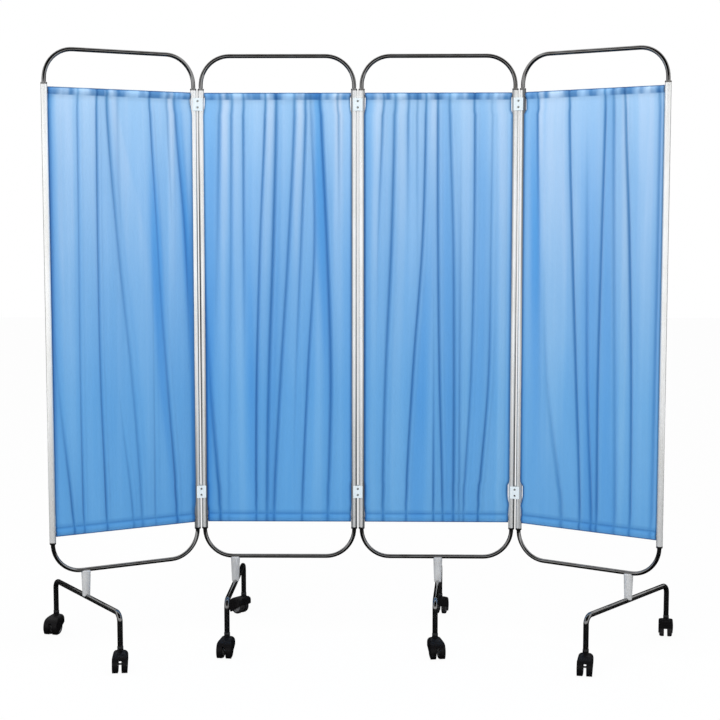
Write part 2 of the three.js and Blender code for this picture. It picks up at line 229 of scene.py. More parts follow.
def pushed(shape, ring, offset):
    made = bmesh.ops.extrude_edge_only(shape, edges=ring)["geom"]
    verts = only(bmesh.types.BMVert, made)
    bmesh.ops.translate(shape, verts=verts, vec=offset)
    return [e for e in only(bmesh.types.BMEdge, made) if all(v in verts for v in e.verts)]


def bent(shape, ring, centre, steps):
    """Carries an open end of a tube round a quarter turn."""
    verts = list({v for e in ring for v in e.verts})
    made = bmesh.ops.spin(
        shape, geom=verts + ring, cent=centre, axis=(0, 1, 0), dvec=(0, 0, 0),
        angle=math.pi / 2, steps=steps,
    )
    return only(bmesh.types.BMEdge, made["geom_last"])


def arch(shape, half_span, start, rail, bend, radius, sides=24, steps=14):
    """A tube that rises at both ends and runs level between its bends, along X."""
    first = bmesh.ops.create_circle(
        shape, segments=sides, radius=radius, matrix=moved(-half_span, 0, start)
    )["verts"]
    open_ring = list({e for v in first for e in v.link_edges})
    ring = pushed(shape, open_ring, (0, 0, rail - bend - start))
    ring = bent(shape, ring, (bend - half_span, 0, rail - bend), steps)
    ring = pushed(shape, ring, (2 * (half_span - bend), 0, 0))
    ring = bent(shape, ring, (half_span - bend, 0, rail - bend), steps)
    ring = pushed(shape, ring, (0, 0, start + bend - rail))
    bmesh.ops.edgeloop_fill(shape, edges=open_ring)
    bmesh.ops.edgeloop_fill(shape, edges=ring)


def mesh_of(shape, name):
    mesh = bpy.data.meshes.new(name)
    shape.to_mesh(mesh)
    shape.free()
    return mesh


def in_scene(name, data):
    thing = bpy.data.objects.new(name, data)
    bpy.context.scene.collection.objects.link(thing)
    return thing


def placed(name, mesh, material, node, stands=True):
    """A piece on the body of a node. It stands for the node unless told not to."""
    piece = in_scene(name, mesh)
    mesh.polygons.foreach_set("use_smooth", [True] * len(mesh.polygons))
    mesh.materials.append(material)
    if stands:
        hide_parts(node)
    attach(piece, BODY_OF[node])
    return piece


def finished(name, shape, place, material, node, stands=True):
    """Turns a closed shape into a piece."""
    bmesh.ops.remove_doubles(shape, verts=shape.verts, dist=0.0005)
    bmesh.ops.recalc_face_normals(shape, faces=shape.faces)
    shape.transform(place @ Matrix.Scale(MM, 4))
    piece = placed(name, mesh_of(shape, name), material, node, stands)
    piece.data.set_sharp_from_angle(angle=math.radians(SHARP_DEGREES))
    return piece


def trial(shape):
    bmesh.ops.recalc_face_normals(shape, faces=shape.faces)
    return in_scene("trial", mesh_of(shape, "trial"))


def carved(solid, steps):
    """What is left of a solid after (operation, other solid) steps, as a new shape."""
    base = trial(solid)
    others = []
    for operation, other in steps:
        others.append(trial(other))
        cut = base.modifiers.new("cut", "BOOLEAN")
        cut.operation = operation
        cut.object = others[-1]
        cut.solver = "EXACT"
    graph = bpy.context.evaluated_depsgraph_get()
    result = bpy.data.meshes.new_from_object(base.evaluated_get(graph))
    shape = bmesh.new()
    shape.from_mesh(result)
    for spent in (base, *others):
        bpy.data.objects.remove(spent)
    bpy.data.meshes.remove(result)
    return shape


def prism(outline, axis, low, high):
    """A solid with the same flat outline all along one axis, whose points leave that axis out."""
    shape = bmesh.new()
    where = "XYZ".index(axis)
    verts = [shape.verts.new((*point[:where], low, *point[where:])) for point in outline]
    made = bmesh.ops.extrude_face_region(shape, geom=[shape.faces.new(verts)])["geom"]
    offset = [0, 0, 0]
    offset[where] = high - low
    bmesh.ops.translate(shape, verts=only(bmesh.types.BMVert, made), vec=offset)
    return shape


def arc(centre_a, centre_b, radius, start, end, steps):
    angles = [math.radians(start + (end - start) * i / steps) for i in range(steps + 1)]
    return [
        (centre_a + radius * math.cos(angle), centre_b + radius * math.sin(angle))
        for angle in angles
    ]


def mirrored(outline, side=-1):
    """An outline of (radius, along) points, on side 1 or -1 of the middle."""
    return [(radius, side * along) for radius, along in outline]


def both_ends(outline):
    """The outline of one end, with its mirror image at the other end."""
    return outline + mirrored(outline[::-1])


def gentle(value):
    """Eases in and out between 0 and 1."""
    value = min(max(value, 0.0), 1.0)
    return value * value * (3 - 2 * value)


def smooth(values, share):
    """The value at a share along a smooth line through the entries of a list."""
    where = share * (len(values) - 1)
    start = min(int(where), len(values) - 2)
    part = where - start
    a, b, c, d = [values[min(max(start + i, 0), len(values) - 1)] for i in (-1, 0, 1, 2)]
    return 0.5 * (
        2 * b + (c - a) * part + (2 * a - 5 * b + 4 * c - d) * part**2
        + (3 * b - a - 3 * c + d) * part**3
    )


# Materials

# Scales of the noise in the effects, in features per metre
TUBE_LINES = 260
TUBE_CLOUDS = 24
TUBE_GRIT = 420
SPARK_GRAIN = 900
TYRE_GRAIN = 700.0
WEAVE = 140

SPECK_COLOUR = (0.12, 0.11, 0.1, 1)
SPECK_SHARE = 0.35
WORN_ROUGHNESS = 0.08
SCUFF_SHARE = 0.6
TYRE_BLACK = (0.012, 0.011, 0.012, 1)
TYRE_DUST = (0.075, 0.07, 0.068, 1)

# Colours of the cloth at shares of its height, from the hem up, paled towards the top by painted
# light
CLOTH_LOW = 0.36
CLOTH_HIGH = 1.68
CLOTH_RAMP_WITH_PAINTED_LIGHT = (
    (0.0, (0.124, 0.372, 0.70)),
    (0.30, (0.138, 0.388, 0.72)),
    (0.55, (0.195, 0.438, 0.755)),
    (0.80, (0.28, 0.515, 0.81)),
    (1.0, (0.385, 0.61, 0.87)),
)

# What each mark on the cloth multiplies its colour by
BROAD_TINT = (0.72, 0.88, 0.96)
STREAK_TINT = (1.25, 1.1, 1.04)
# Painted light on the ridges, and painted shade in bands where the cloth lies double and in the
# creases
MARK_TINTS = {
    "light": (1.48, 1.18, 1.04),
    "band_shade": (0.36, 0.70, 0.93),
    "crease": (0.30, 0.50, 0.65),
}
# Painted shade: in the gathers of the top pocket, over the double hem, and along the folds over the
# rods
HEADER_SHADE_TINT = (0.24, 0.42, 0.60)
HEM_SHADE_TINT = (0.55, 0.75, 0.88)
FOLD_SHADE_TINT = (0.25, 0.36, 0.48)
EDGE_TINT = (0.28, 0.40, 0.50)
THREAD_TINT = (0.5, 0.62, 0.75)
STITCH_TINT = (0.35, 0.5, 0.65)

# Where the marks lie on the cloth, in metres up it or in from its edge
HEADER_BLEND = (1.660, 1.664)
HEM_BLEND = (0.386, 0.383)
FOLD_BLEND = (0.0022, 0.0040)
EDGE_BLEND = (0.0015, 0.006)
STITCH_LINE = 0.3868
STITCH_HALF = 0.0007
STITCH_RATE = 52.0


def filled(tree, made, inputs):
    """Links or sets the inputs of a new node."""
    for name, value in inputs.items():
        if isinstance(value, bpy.types.NodeSocket):
            tree.links.new(value, made.inputs[name])
        else:
            made.inputs[name].default_value = value
    return made


def add(tree, kind, inputs=None, **settings):
    made = tree.nodes.new(f"ShaderNode{kind}")
    for name, value in settings.items():
        setattr(made, name, value)
    return filled(tree, made, inputs or {})


def mixed(tree, factor, one, other, blend="MIX"):
    made = add(
        tree, "Mix", {0: factor, 6: one, 7: other}, data_type="RGBA", blend_type=blend
    )
    return made.outputs[2]


def ranged(tree, value, low, high, to_low=0, to_high=1):
    inputs = {"Value": value, 1: low, 2: high, 3: to_low, 4: to_high}
    return add(tree, "MapRange", inputs).outputs[0]


def maths(tree, operation, one, other=0.0):
    return add(tree, "Math", {0: one, 1: other}, operation=operation).outputs[0]


def scaled(tree, vector, factors):
    made = add(tree, "VectorMath", {0: vector, 1: factors}, operation="MULTIPLY")
    return made.outputs[0]


def noise(tree, vector, scale, detail=3.0, roughness=0.55):
    inputs = {"Vector": vector, "Scale": scale, "Detail": detail, "Roughness": roughness}
    return add(tree, "TexNoise", inputs).outputs["Fac"]


def effect(name, inputs, outputs):
    """A node group that makes masks from a vector and its further inputs."""
    tree = bpy.data.node_groups.new(name, "ShaderNodeTree")
    for label, default in {"Vector": (0, 0, 0), **inputs}.items():
        kind = "NodeSocketVector" if isinstance(default, tuple) else "NodeSocketFloat"
        socket = tree.interface.new_socket(name=label, in_out="INPUT", socket_type=kind)
        socket.default_value = default
    for label in outputs:
        tree.interface.new_socket(name=label, in_out="OUTPUT", socket_type="NodeSocketFloat")
    return tree, tree.nodes.new("NodeGroupInput").outputs, tree.nodes.new("NodeGroupOutput").inputs


def used(tree, group, inputs):
    made = tree.nodes.new("ShaderNodeGroup")
    made.node_tree = group
    return filled(tree, made, inputs).outputs


def drawn_tube_effect():
    """Fine lines, soft cloudy patches and a few specks."""
    masks = ("Lines", "Clouds", "Specks")
    tree, given, out = effect("drawn tube", {"Stretch": (1, 1, 1)}, masks)
    along = scaled(tree, given["Vector"], given["Stretch"])
    lines = noise(tree, along, TUBE_LINES, 4)
    clouds = noise(tree, scaled(tree, given["Vector"], (1, 1, 0.35)), TUBE_CLOUDS, 4)
    grit = noise(tree, given["Vector"], TUBE_GRIT, 2)
    tree.links.new(lines, out["Lines"])
    tree.links.new(clouds, out["Clouds"])
    tree.links.new(ranged(tree, grit, 0.68, 0.76), out["Specks"])
    return tree


def moulded_grain_effect():
    """Fine spark grain and slight scuffs."""
    tree, given, out = effect("moulded grain", {"Scale": SPARK_GRAIN}, ("Grain", "Scuffs"))
    grain = noise(tree, given["Vector"], given["Scale"], 2)
    broad = noise(tree, scaled(tree, given["Vector"], (1, 1, 0.25)), 140, 5, 0.7)
    tree.links.new(grain, out["Grain"])
    tree.links.new(ranged(tree, broad, 0.6, 0.72), out["Scuffs"])
    return tree


def weave_effect():
    """Crossing threads, thicker here and there, on a map in metres."""
    tree, given, out = effect("plain weave", {"Scale": WEAVE}, ("Threads",))
    threads = []
    for direction in ("X", "Y"):
        wave = add(
            tree, "TexWave",
            {"Vector": given["Vector"], "Scale": given["Scale"], "Distortion": 0.6, "Detail": 1.0},
            wave_type="BANDS", bands_direction=direction,
        )
        threads.append(wave.outputs["Fac"])
    woven = maths(tree, "MULTIPLY", *threads)
    slub = noise(tree, scaled(tree, given["Vector"], (1, 0.15, 1)), 420, 2)
    both = maths(tree, "ADD", woven, maths(tree, "MULTIPLY", slub, 0.5))
    tree.links.new(both, out["Threads"])
    return tree


DRAWN_TUBE = drawn_tube_effect()
MOULDED_GRAIN = moulded_grain_effect()


def fresh_material(name, **surface):
    material = bpy.data.materials.new(name)
    material.use_nodes = True
    tree = material.node_tree
    shader = tree.nodes["Principled BSDF"]
    for socket, value in surface.items():
        shader.inputs[socket.replace("_", " ")].default_value = value
    place = tree.nodes.new("ShaderNodeTexCoord").outputs["Object"]
    return material, tree, shader, place


def coated(tree, shader, colour, roughness):
    tree.links.new(colour, shader.inputs["Base Color"])
    tree.links.new(roughness, shader.inputs["Roughness"])


def relief(tree, shader, height, distance, under=None):
    inputs = {"Height": height, "Distance": distance}
    if under:
        inputs["Normal"] = under
    made = add(tree, "Bump", inputs)
    tree.links.new(made.outputs[0], shader.inputs["Normal"])
    return made.outputs[0]


def plated_metal(
    name, bright, dull, smooth_spots, rough_spots, stretch,
    wear=1.0, metal=1.0, grain=0.000006, painted_shade_colour=None,
):
    """Plated tube, dulled in patches. The shade attribute marks where its painted shade goes."""
    material, tree, shader, place = fresh_material(name, Metallic=metal)
    tube = used(tree, DRAWN_TUBE, {"Vector": place, "Stretch": stretch})
    worn = ranged(tree, tube["Clouds"], 0.42, 0.68, 0, wear)
    colour = mixed(tree, worn, bright, dull)
    specks = maths(tree, "MULTIPLY", tube["Specks"], SPECK_SHARE * wear)
    colour = mixed(tree, specks, colour, SPECK_COLOUR)
    if painted_shade_colour:
        # Painted shade on the sides that the shade attribute marks
        colour = mixed(tree, attribute(tree, "shade"), colour, painted_shade_colour)
    lined = ranged(tree, tube["Lines"], 0.3, 0.7, smooth_spots, rough_spots)
    roughness = maths(tree, "ADD", lined, maths(tree, "MULTIPLY", worn, WORN_ROUGHNESS))
    coated(tree, shader, colour, roughness)
    relief(tree, shader, tube["Lines"], grain)
    return material


def moulded_plastic(name, colour, faded, rough, **surface):
    material, tree, shader, place = fresh_material(name, **surface)
    grain = used(tree, MOULDED_GRAIN, {"Vector": place})
    shade = mixed(tree, maths(tree, "MULTIPLY", grain["Scuffs"], SCUFF_SHARE), colour, faded)
    roughness = ranged(tree, grain["Grain"], 0.3, 0.7, rough - 0.06, rough + 0.08)
    coated(tree, shader, shade, roughness)
    relief(tree, shader, grain["Grain"], 0.00004)
    return material


def tyre_rubber():
    """Black rubber, dusty in patches."""
    material, tree, shader, place = fresh_material("tyre rubber", Specular_IOR_Level=0.35)
    grain = used(tree, MOULDED_GRAIN, {"Vector": place, "Scale": TYRE_GRAIN})
    dust = ranged(tree, noise(tree, place, 90, 5, 0.7), 0.5, 0.75, 0, 0.7)
    roughness = ranged(tree, grain["Grain"], 0.3, 0.7, 0.58, 0.78)
    coated(tree, shader, mixed(tree, dust, TYRE_BLACK, TYRE_DUST), roughness)
    relief(tree, shader, grain["Grain"], 0.00006)
    return material


def tinted(tree, strength, colour, tint):
    return mixed(tree, strength, colour, (*tint, 1), blend="MULTIPLY")


def attribute(tree, name):
    return add(tree, "Attribute", attribute_name=name).outputs["Fac"]


def cloth_with_painted_light(tree, height):
    """The plain colour with painted light: deeper towards the hem and pale near the top."""
    up = ranged(tree, height, CLOTH_LOW, CLOTH_HIGH)
    shades = add(tree, "ValToRGB", {"Fac": up})
    ramp = shades.color_ramp
    ramp.elements[0].color = (*CLOTH_RAMP_WITH_PAINTED_LIGHT[0][1], 1)
    ramp.elements[1].color = (*CLOTH_RAMP_WITH_PAINTED_LIGHT[-1][1], 1)
    for place, colour in CLOTH_RAMP_WITH_PAINTED_LIGHT[1:-1]:
        ramp.elements.new(place).color = (*colour, 1)
    return shades.outputs[0]


def cloth_wear_and_painted_marks(tree, flat, colour):
    """Broad patches, fine streaks, and the painted light and painted shade that the mesh's marks
    carry.
    """
    broad = noise(tree, scaled(tree, flat, (1, 0.15, 1)), 13, 3)
    streak = noise(tree, scaled(tree, flat, (1, 0.02, 1)), 60, 4)
    colour = tinted(tree, ranged(tree, broad, 0.40, 0.66, 0, 0.35), colour, BROAD_TINT)
    colour = tinted(tree, ranged(tree, streak, 0.45, 0.75, 0, 0.5), colour, STREAK_TINT)
    # The marks paint light and shade into the colour
    for mark, tint in MARK_TINTS.items():
        colour = tinted(tree, attribute(tree, mark), colour, tint)
    return colour


def sewn_ends(tree, flat, height, colour):
    """Painted shade in the gathers of the top pocket, over the double hem, and along the folds over
    the rods.
    """
    gathers = noise(tree, scaled(tree, flat, (1, 0.25, 1)), 17, 2, 0.6)
    in_header = ranged(tree, height, *HEADER_BLEND)
    # Painted shade in the gathers of the top pocket
    patches = maths(tree, "MULTIPLY", ranged(tree, gathers, 0.40, 0.58), in_header)
    colour = tinted(tree, patches, colour, HEADER_SHADE_TINT)
    # Painted shade over the double hem
    colour = tinted(tree, ranged(tree, height, *HEM_BLEND, 0, 0.5), colour, HEM_SHADE_TINT)
    # Painted shade along the folds over the rods
    for fold in (HEAD_FOLD, HEM_FOLD):
        away = maths(tree, "ABSOLUTE", maths(tree, "SUBTRACT", height, fold * MM))
        colour = tinted(tree, ranged(tree, away, *FOLD_BLEND, 0.9, 0), colour, FOLD_SHADE_TINT)
    return colour


def edge_shadow(tree, across, colour):
    """A narrow shadow beside the posts."""
    width = 2 * CURTAIN_HALF * MM
    to_edge = maths(tree, "MINIMUM", across, maths(tree, "SUBTRACT", width, across))
    return tinted(tree, ranged(tree, to_edge, *EDGE_BLEND, 0.85, 0), colour, EDGE_TINT)


def stitching(tree, flat, height, colour):
    """One row of stitches along the hem."""
    gaps = add(
        tree, "TexWave", {"Vector": flat, "Scale": STITCH_RATE},
        wave_type="BANDS", bands_direction="X",
    ).outputs["Fac"]
    away = maths(tree, "ABSOLUTE", maths(tree, "SUBTRACT", height, STITCH_LINE))
    on_line = maths(tree, "LESS_THAN", away, STITCH_HALF)
    stitch = maths(tree, "MULTIPLY", ranged(tree, gaps, 0.35, 0.5, 0, 0.7), on_line)
    return tinted(tree, stitch, colour, STITCH_TINT)


def curtain_cloth():
    """Thin woven cloth."""
    material, tree, shader, _ = fresh_material(
        "curtain cloth", Sheen_Weight=0.2, Sheen_Roughness=0.45, Specular_IOR_Level=0.2
    )
    flat = add(tree, "UVMap", uv_map="cloth").outputs[0]
    across, height, _ = add(tree, "SeparateXYZ", {0: flat}).outputs
    threads = used(tree, weave_effect(), {"Vector": flat})["Threads"]
    colour = cloth_wear_and_painted_marks(tree, flat, cloth_with_painted_light(tree, height))
    colour = sewn_ends(tree, flat, height, colour)
    colour = edge_shadow(tree, across, colour)
    colour = tinted(tree, ranged(tree, threads, 0.1, 1.2, 0.3, 0), colour, THREAD_TINT)
    colour = stitching(tree, flat, height, colour)
    coated(tree, shader, colour, ranged(tree, threads, 0, 1.4, 0.92, 0.74))
    crumple = noise(tree, scaled(tree, flat, (1, 0.3, 1)), 34, 5, 0.6)
    soft = relief(tree, shader, crumple, 0.0018)
    relief(tree, shader, threads, 0.00012, under=soft)
    return material


STREAK_UP = (1, 1, 0.02)
STREAK_NONE = (0.3, 0.3, 0.3)
# The posts carry a near-black painted shade beside the hinges
POST_STEEL = plated_metal(
    "post steel", (0.95, 0.96, 0.96, 1), (0.84, 0.83, 0.79, 1), 0.20, 0.27, STREAK_UP,
    wear=0.5, metal=0.5, grain=0.0000012, painted_shade_colour=(0.07, 0.075, 0.08, 1),
)
# The rails and foot bars are plated darker than the posts: a painted dark reflection
RAIL_CHROME = plated_metal(
    "rail chrome", (0.27, 0.27, 0.27, 1), (0.19, 0.18, 0.17, 1), 0.06, 0.1, STREAK_NONE
)
FOOT_CHROME = plated_metal(
    "foot chrome", (0.26, 0.26, 0.26, 1), (0.18, 0.175, 0.17, 1), 0.08, 0.15, STREAK_NONE
)
ROD_STEEL = plated_metal(
    "rod steel", (0.62, 0.62, 0.6, 1), (0.4, 0.4, 0.38, 1), 0.2, 0.35, STREAK_NONE
)
COLUMN_STEEL = plated_metal(
    "column steel", (0.84, 0.85, 0.86, 1), (0.62, 0.63, 0.64, 1), 0.4, 0.55, STREAK_UP, metal=0.4
)
CLIP_PLASTIC = moulded_plastic("clip plastic", (0.74, 0.82, 0.86, 1), (0.22, 0.34, 0.42, 1), 0.3)
HOOD_PLASTIC = moulded_plastic(
    "hood plastic", (0.004, 0.0035, 0.004, 1), (0.02, 0.018, 0.02, 1), 0.45, Specular_IOR_Level=0.2
)
HUB_PLASTIC = moulded_plastic("hub plastic", (0.16, 0.16, 0.165, 1), (0.32, 0.32, 0.32, 1), 0.4)
SOCKET_PLASTIC = moulded_plastic("socket plastic", (0.02, 0.02, 0.02, 1), (0.06, 0.06, 0.06, 1), 0.4)
TYRE_RUBBER = tyre_rubber()
CURTAIN_CLOTH = curtain_cloth()


# The tube frame of a panel


# How much painted shade darkens the plating down each post beside its hinge, on the side of the
# next post and on the side of the cloth, at four heights from the top down
POST_SHADES = {
    (1, "left"): ((0, 0, 0, 0), (0, 0, 0.1, 0.4)),
    (1, "right"): ((0.2, 0.8, 0.9, 0.7), (0, 0, 0.2, 0.8)),
    (2, "left"): ((0.2, 0.9, 0.8, 0.3), (0.1, 0.2, 0.5, 0.9)),
    (2, "right"): ((0.1, 0.3, 0.6, 0.8), (0.7, 0.7, 0.6, 0.7)),
    (3, "left"): ((0, 0, 0.1, 0.3), (0.6, 0.6, 0.7, 0.9)),
    (3, "right"): ((0, 0.1, 0.6, 0.9), (0.6, 0.6, 0.3, 0.3)),
    (4, "left"): ((0, 0.1, 0.6, 0.8), (0.9, 0.8, 0.4, 0.3)),
    (4, "right"): ((0, 0, 0, 0), (0.2, 0.3, 0.3, 0.4)),
}
POST_LEVELS = 12
SHADE_START = 0.15
SHADE_RISE = 0.4


def shade_post(shape, outwards, strengths):
    """Marks the painted shade on the sides of a post that still stands at the origin."""
    shade = shape.verts.layers.float.new("shade")
    for vert in shape.verts:
        towards = vert.co.x * outwards / POST_RADIUS
        down = (POST_TOP - vert.co.z) / (POST_TOP - POST_BOTTOM)
        strength = smooth(strengths[0] if towards > 0 else strengths[1], down)
        reach = gentle((abs(towards) - SHADE_START) / SHADE_RISE)
        vert[shade] = min(max(strength, 0.0), 1.0) * reach


def post(number, side):
    """A plated tube, open at both ends, with eased rims."""
    shape = bmesh.new()
    inner = POST_RADIUS - POST_WALL
    level = (POST_TOP - POST_BOTTOM - 2 * POST_RIM) / POST_LEVELS
    turned(shape, [
        (inner, POST_BOTTOM), (POST_RADIUS - POST_RIM, POST_BOTTOM),
        *[(POST_RADIUS, POST_BOTTOM + POST_RIM + level * step) for step in range(POST_LEVELS + 1)],
        (POST_RADIUS - POST_RIM, POST_TOP), (inner, POST_TOP),
    ], steps=40)
    outwards = 1 if side == "right" else -1
    shade_post(shape, outwards, POST_SHADES[number, side])
    shape.transform(moved(POST_PITCH / 2 * outwards))
    node = f"panel_{number}_{side}_post"
    finished(f"{node}_tube", shape, panel_place(number), POST_STEEL, node)


# The collar and spigot at each end of a bow, as (radius, height) points above the end of the post
COLLAR = [
    (0, -SPIGOT), (SPIGOT_RADIUS - 0.6, -SPIGOT), (SPIGOT_RADIUS, 0.6 - SPIGOT),
    (SPIGOT_RADIUS, SEAT_GAP), (POST_RADIUS - POST_RIM, SEAT_GAP),
    (POST_RADIUS, SEAT_GAP + POST_RIM), (POST_RADIUS, 4.4), (POST_RADIUS - 0.8, 5.4),
    (BOW_RADIUS + 0.9, 6.4), (BOW_RADIUS + 0.2, 7.3), (BOW_RADIUS - 1, 7.3), (0, 7.3),
]


def bow(number, which):
    """The bent rail of a panel, with its collars and spigots."""
    is_top = which == "top"
    rise = TOP_RAIL - POST_TOP if is_top else POST_BOTTOM - BOTTOM_RAIL
    shape = bmesh.new()
    arch(shape, POST_PITCH / 2, -SPIGOT / 2, rise, BOW_BEND, BOW_RADIUS)
    for x in (-POST_PITCH / 2, POST_PITCH / 2):
        turned(shape, COLLAR, place=moved(x))
    turn = Matrix.Identity(4) if is_top else Matrix.Rotation(math.pi, 4, "X")
    shape.transform(moved(z=POST_TOP if is_top else POST_BOTTOM) @ turn)
    node = f"panel_{number}_{which}_bow"
    finished(f"{node}_rail", shape, panel_place(number), RAIL_CHROME, node)


def rod(number, which):
    """A round rod with its ends in the posts."""
    shape = bmesh.new()
    half = POST_PITCH / 2 - POST_RADIUS + ROD_ENGAGEMENT
    end = [(0, -half), (ROD_RADIUS - ROD_RIM, -half), (ROD_RADIUS, ROD_RIM - half)]
    turned(shape, both_ends(end), steps=24, place=Matrix.Rotation(math.pi / 2, 4, "Y"))
    shape.transform(moved(z=TOP_ROD if which == "top" else BOTTOM_ROD))
    node = f"panel_{number}_{which}_rod"
    finished(f"{node}_bar", shape, panel_place(number), ROD_STEEL, node)


# The curtains

# Creases of each curtain, which carry painted shade: shares across at four heights from the top edge
# down to the hem, strengths at the same heights, and half width in millimetres. One number stands
# for all four
CREASES = {
    1: [
        ((0.205, 0.2, 0.195, 0.2), (0.7, 0.5, 0.5, 0.8), 3.6),
        ((0.335, 0.33, 0.335, 0.36), (1, 0.8, 0.7, 0.9), 3.6),
        ((0.405, 0.47, 0.56, 0.615), (1, 0.6, 0.45, 0.6), 5),
        ((0.705, 0.75, 0.79, 0.8), (1, 0.4, 0, 0), 3.6),
        ((0.7, 0.75, 0.81, 0.87), (0, 0, 0.6, 1), 4.6),
        ((0.83, 0.86, 0.88, 0.9), (0.6, 0, 0, 0), 4),
        ((0.885, 0.955, 0.98, 0.98), (0.9, 0.6, 0.1, 0), 5),
        ((0, 0, 0.045, 0.13), (0, 0, 0.2, 1), 4),
        ((0.4, 0.43, 0.46, 0.55), (0, 0, 0, 0.6), 4),
        (0.71, (0, 0, 0.2, 0.5), 4),
        ((0.48, 0.49, 0.5, 0.5), (0.4, 0.1, 0, 0), 6),
        (0, (1, 0.9, 0.6, 0.3), 13),
        (0.99, (0.3, 0.6, 0.8, 1), 5),
    ],
    2: [
        ((0.11, 0.09, 0.07, 0.06), (0.8, 0.4, 0, 0), 5),
        ((0.19, 0.18, 0.165, 0.15), (0.8, 0.5, 0.3, 0.3), 4),
        ((0.27, 0.268, 0.27, 0.27), (0.9, 0.6, 0, 0), 3.6),
        ((0.42, 0.38, 0.35, 0.34), (1, 0.8, 0.9, 0.9), 3.6),
        ((0.495, 0.47, 0.435, 0.415), (1, 1, 0.9, 0.8), 5),
        ((0.62, 0.575, 0.515, 0.465), (0.9, 0.8, 0.8, 0.8), 4.6),
        ((0.695, 0.66, 0.62, 0.6), (0.9, 0.7, 0.3, 0), 4),
        ((0.73, 0.75, 0.7, 0.66), (0.5, 0.7, 0.8, 0.8), 4),
        ((0.795, 0.835, 0.86, 0.84), (1, 0.9, 0.9, 0.8), 5),
        ((0.915, 0.92, 0.93, 0.93), (0.8, 0.1, 0, 0), 4),
        ((0, 0, 0.03, 0.09), (0, 0, 0.5, 1), 5),
        (0.005, (0, 0.3, 0.7, 1), 5),
        (0.995, (0.2, 0.3, 0.5, 0.7), 4),
    ],
    3: [
        ((0.13, 0.1, 0.09, 0.09), (0.9, 0.3, 0, 0), 4),
        ((0.21, 0.19, 0.15, 0.13), (0.9, 0.9, 0.8, 0.9), 5),
        (0.3, (0.8, 0.1, 0, 0), 4),
        ((0.36, 0.365, 0.37, 0.37), (0.6, 0.1, 0, 0), 4),
        ((0.42, 0.4, 0.335, 0.29), (1, 0.9, 0.9, 0.9), 4),
        ((0.5, 0.505, 0.52, 0.545), (1, 0.9, 0.9, 0.9), 4),
        ((0.58, 0.61, 0.62, 0.62), (0.8, 0.7, 0.8, 0.9), 4.6),
        ((0.75, 0.75, 0.735, 0.69), (1, 0.8, 0.6, 0.7), 4),
        ((0.87, 0.865, 0.855, 0.79), (0.4, 0.4, 0.7, 1), 4),
        ((0.47, 0.475, 0.48, 0.48), (0, 0, 0.3, 0.9), 3.6),
        (0.66, (0, 0.3, 0.4, 0.5), 4),
        (0.005, (0.9, 0.9, 0.9, 1), 5),
        (0.995, (0.6, 0.6, 0.7, 0.8), 4),
    ],
    4: [
        ((0.095, 0.115, 0.13, 0.13), (1, 0.3, 0.1, 0), 4),
        ((0.33, 0.365, 0.405, 0.445), (1, 1, 0.9, 0.9), 4),
        ((0.59, 0.575, 0.565, 0.57), (1, 0.9, 0.9, 0.8), 4),
        ((0.65, 0.665, 0.685, 0.7), (0.8, 0.6, 0.5, 0.6), 5),
        ((0.73, 0.77, 0.8, 0.81), (1, 1, 0.9, 0.8), 4),
        ((0.46, 0.47, 0.485, 0.53), (0, 0.5, 0.7, 0.8), 4.6),
        ((0.13, 0.15, 0.185, 0.31), (0, 0, 0.3, 0.7), 6),
        ((0.97, 0.97, 0.965, 0.96), (0.8, 0.7, 0.6, 0.5), 5),
        (0.005, (0.6, 0.6, 0.7, 0.9), 5),
    ],
}

# Bands of painted shade, mostly where the cloth lies double, and bands of painted light where it
# catches the light: the left and right edge and the strength at the same four heights
SHADE_BANDS = {
    1: [
        ((0.7, 0.695, 0.745, 0.84), (0.71, 0.775, 0.8, 0.865), (0.2, 0.9, 0.6, 0.3)),
        ((0.885, 0.93, 0.97, 0.99), (0.93, 0.985, 0.99, 1), (0.6, 1, 0.3, 0)),
        (-0.1, (0.03, 0.025, 0.02, 0.01), (0.8, 0.9, 0.7, 0.4)),
    ],
    2: [
        ((0.75, 0.76, 0.82, 0.84), (0.8, 0.835, 0.85, 0.85), (0.9, 0.8, 0.3, 0)),
        (-0.1, (0.1, 0.085, 0.05, 0.03), (0.5, 0.4, 0.6, 0.7)),
        ((0.3, 0.29, 0.29, 0.3), (0.33, 0.325, 0.33, 0.33), (0, 0.3, 0.5, 0.3)),
        ((0.5, 0.48, 0.45, 0.43), (0.53, 0.51, 0.48, 0.46), (0.3, 0.4, 0.4, 0.3)),
        (-0.1, 1.1, (0, 0.1, 0.1, 0.04)),
    ],
    3: [
        ((0.43, 0.42, 0.36, 0.31), (0.48, 0.48, 0.44, 0.42), (0.2, 0.4, 0.5, 0.4)),
        (-0.1, (0.05, 0.04, 0.03, 0.03), (0.5, 0.4, 0.3, 0.3)),
        ((0.52, 0.53, 0.55, 0.56), (0.57, 0.6, 0.61, 0.61), (0.4, 0.4, 0.4, 0.3)),
        ((0.76, 0.76, 0.75, 0.71), (0.84, 0.84, 0.82, 0.77), (0.3, 0.3, 0.3, 0.2)),
    ],
    4: [
        ((0.04, 0.055, 0.07, 0.09), (0.095, 0.12, 0.13, 0.12), (0.5, 1, 0.4, 0)),
        (-0.1, (0.03, 0.02, 0.02, 0.02), (0.6, 0.5, 0.4, 0.3)),
        ((0.4, 0.43, 0.45, 0.47), (0.54, 0.55, 0.55, 0.56), (0.1, 0.4, 0.4, 0.3)),
        ((0.6, 0.59, 0.59, 0.6), (0.64, 0.65, 0.67, 0.69), (0.4, 0.5, 0.4, 0.3)),
    ],
}
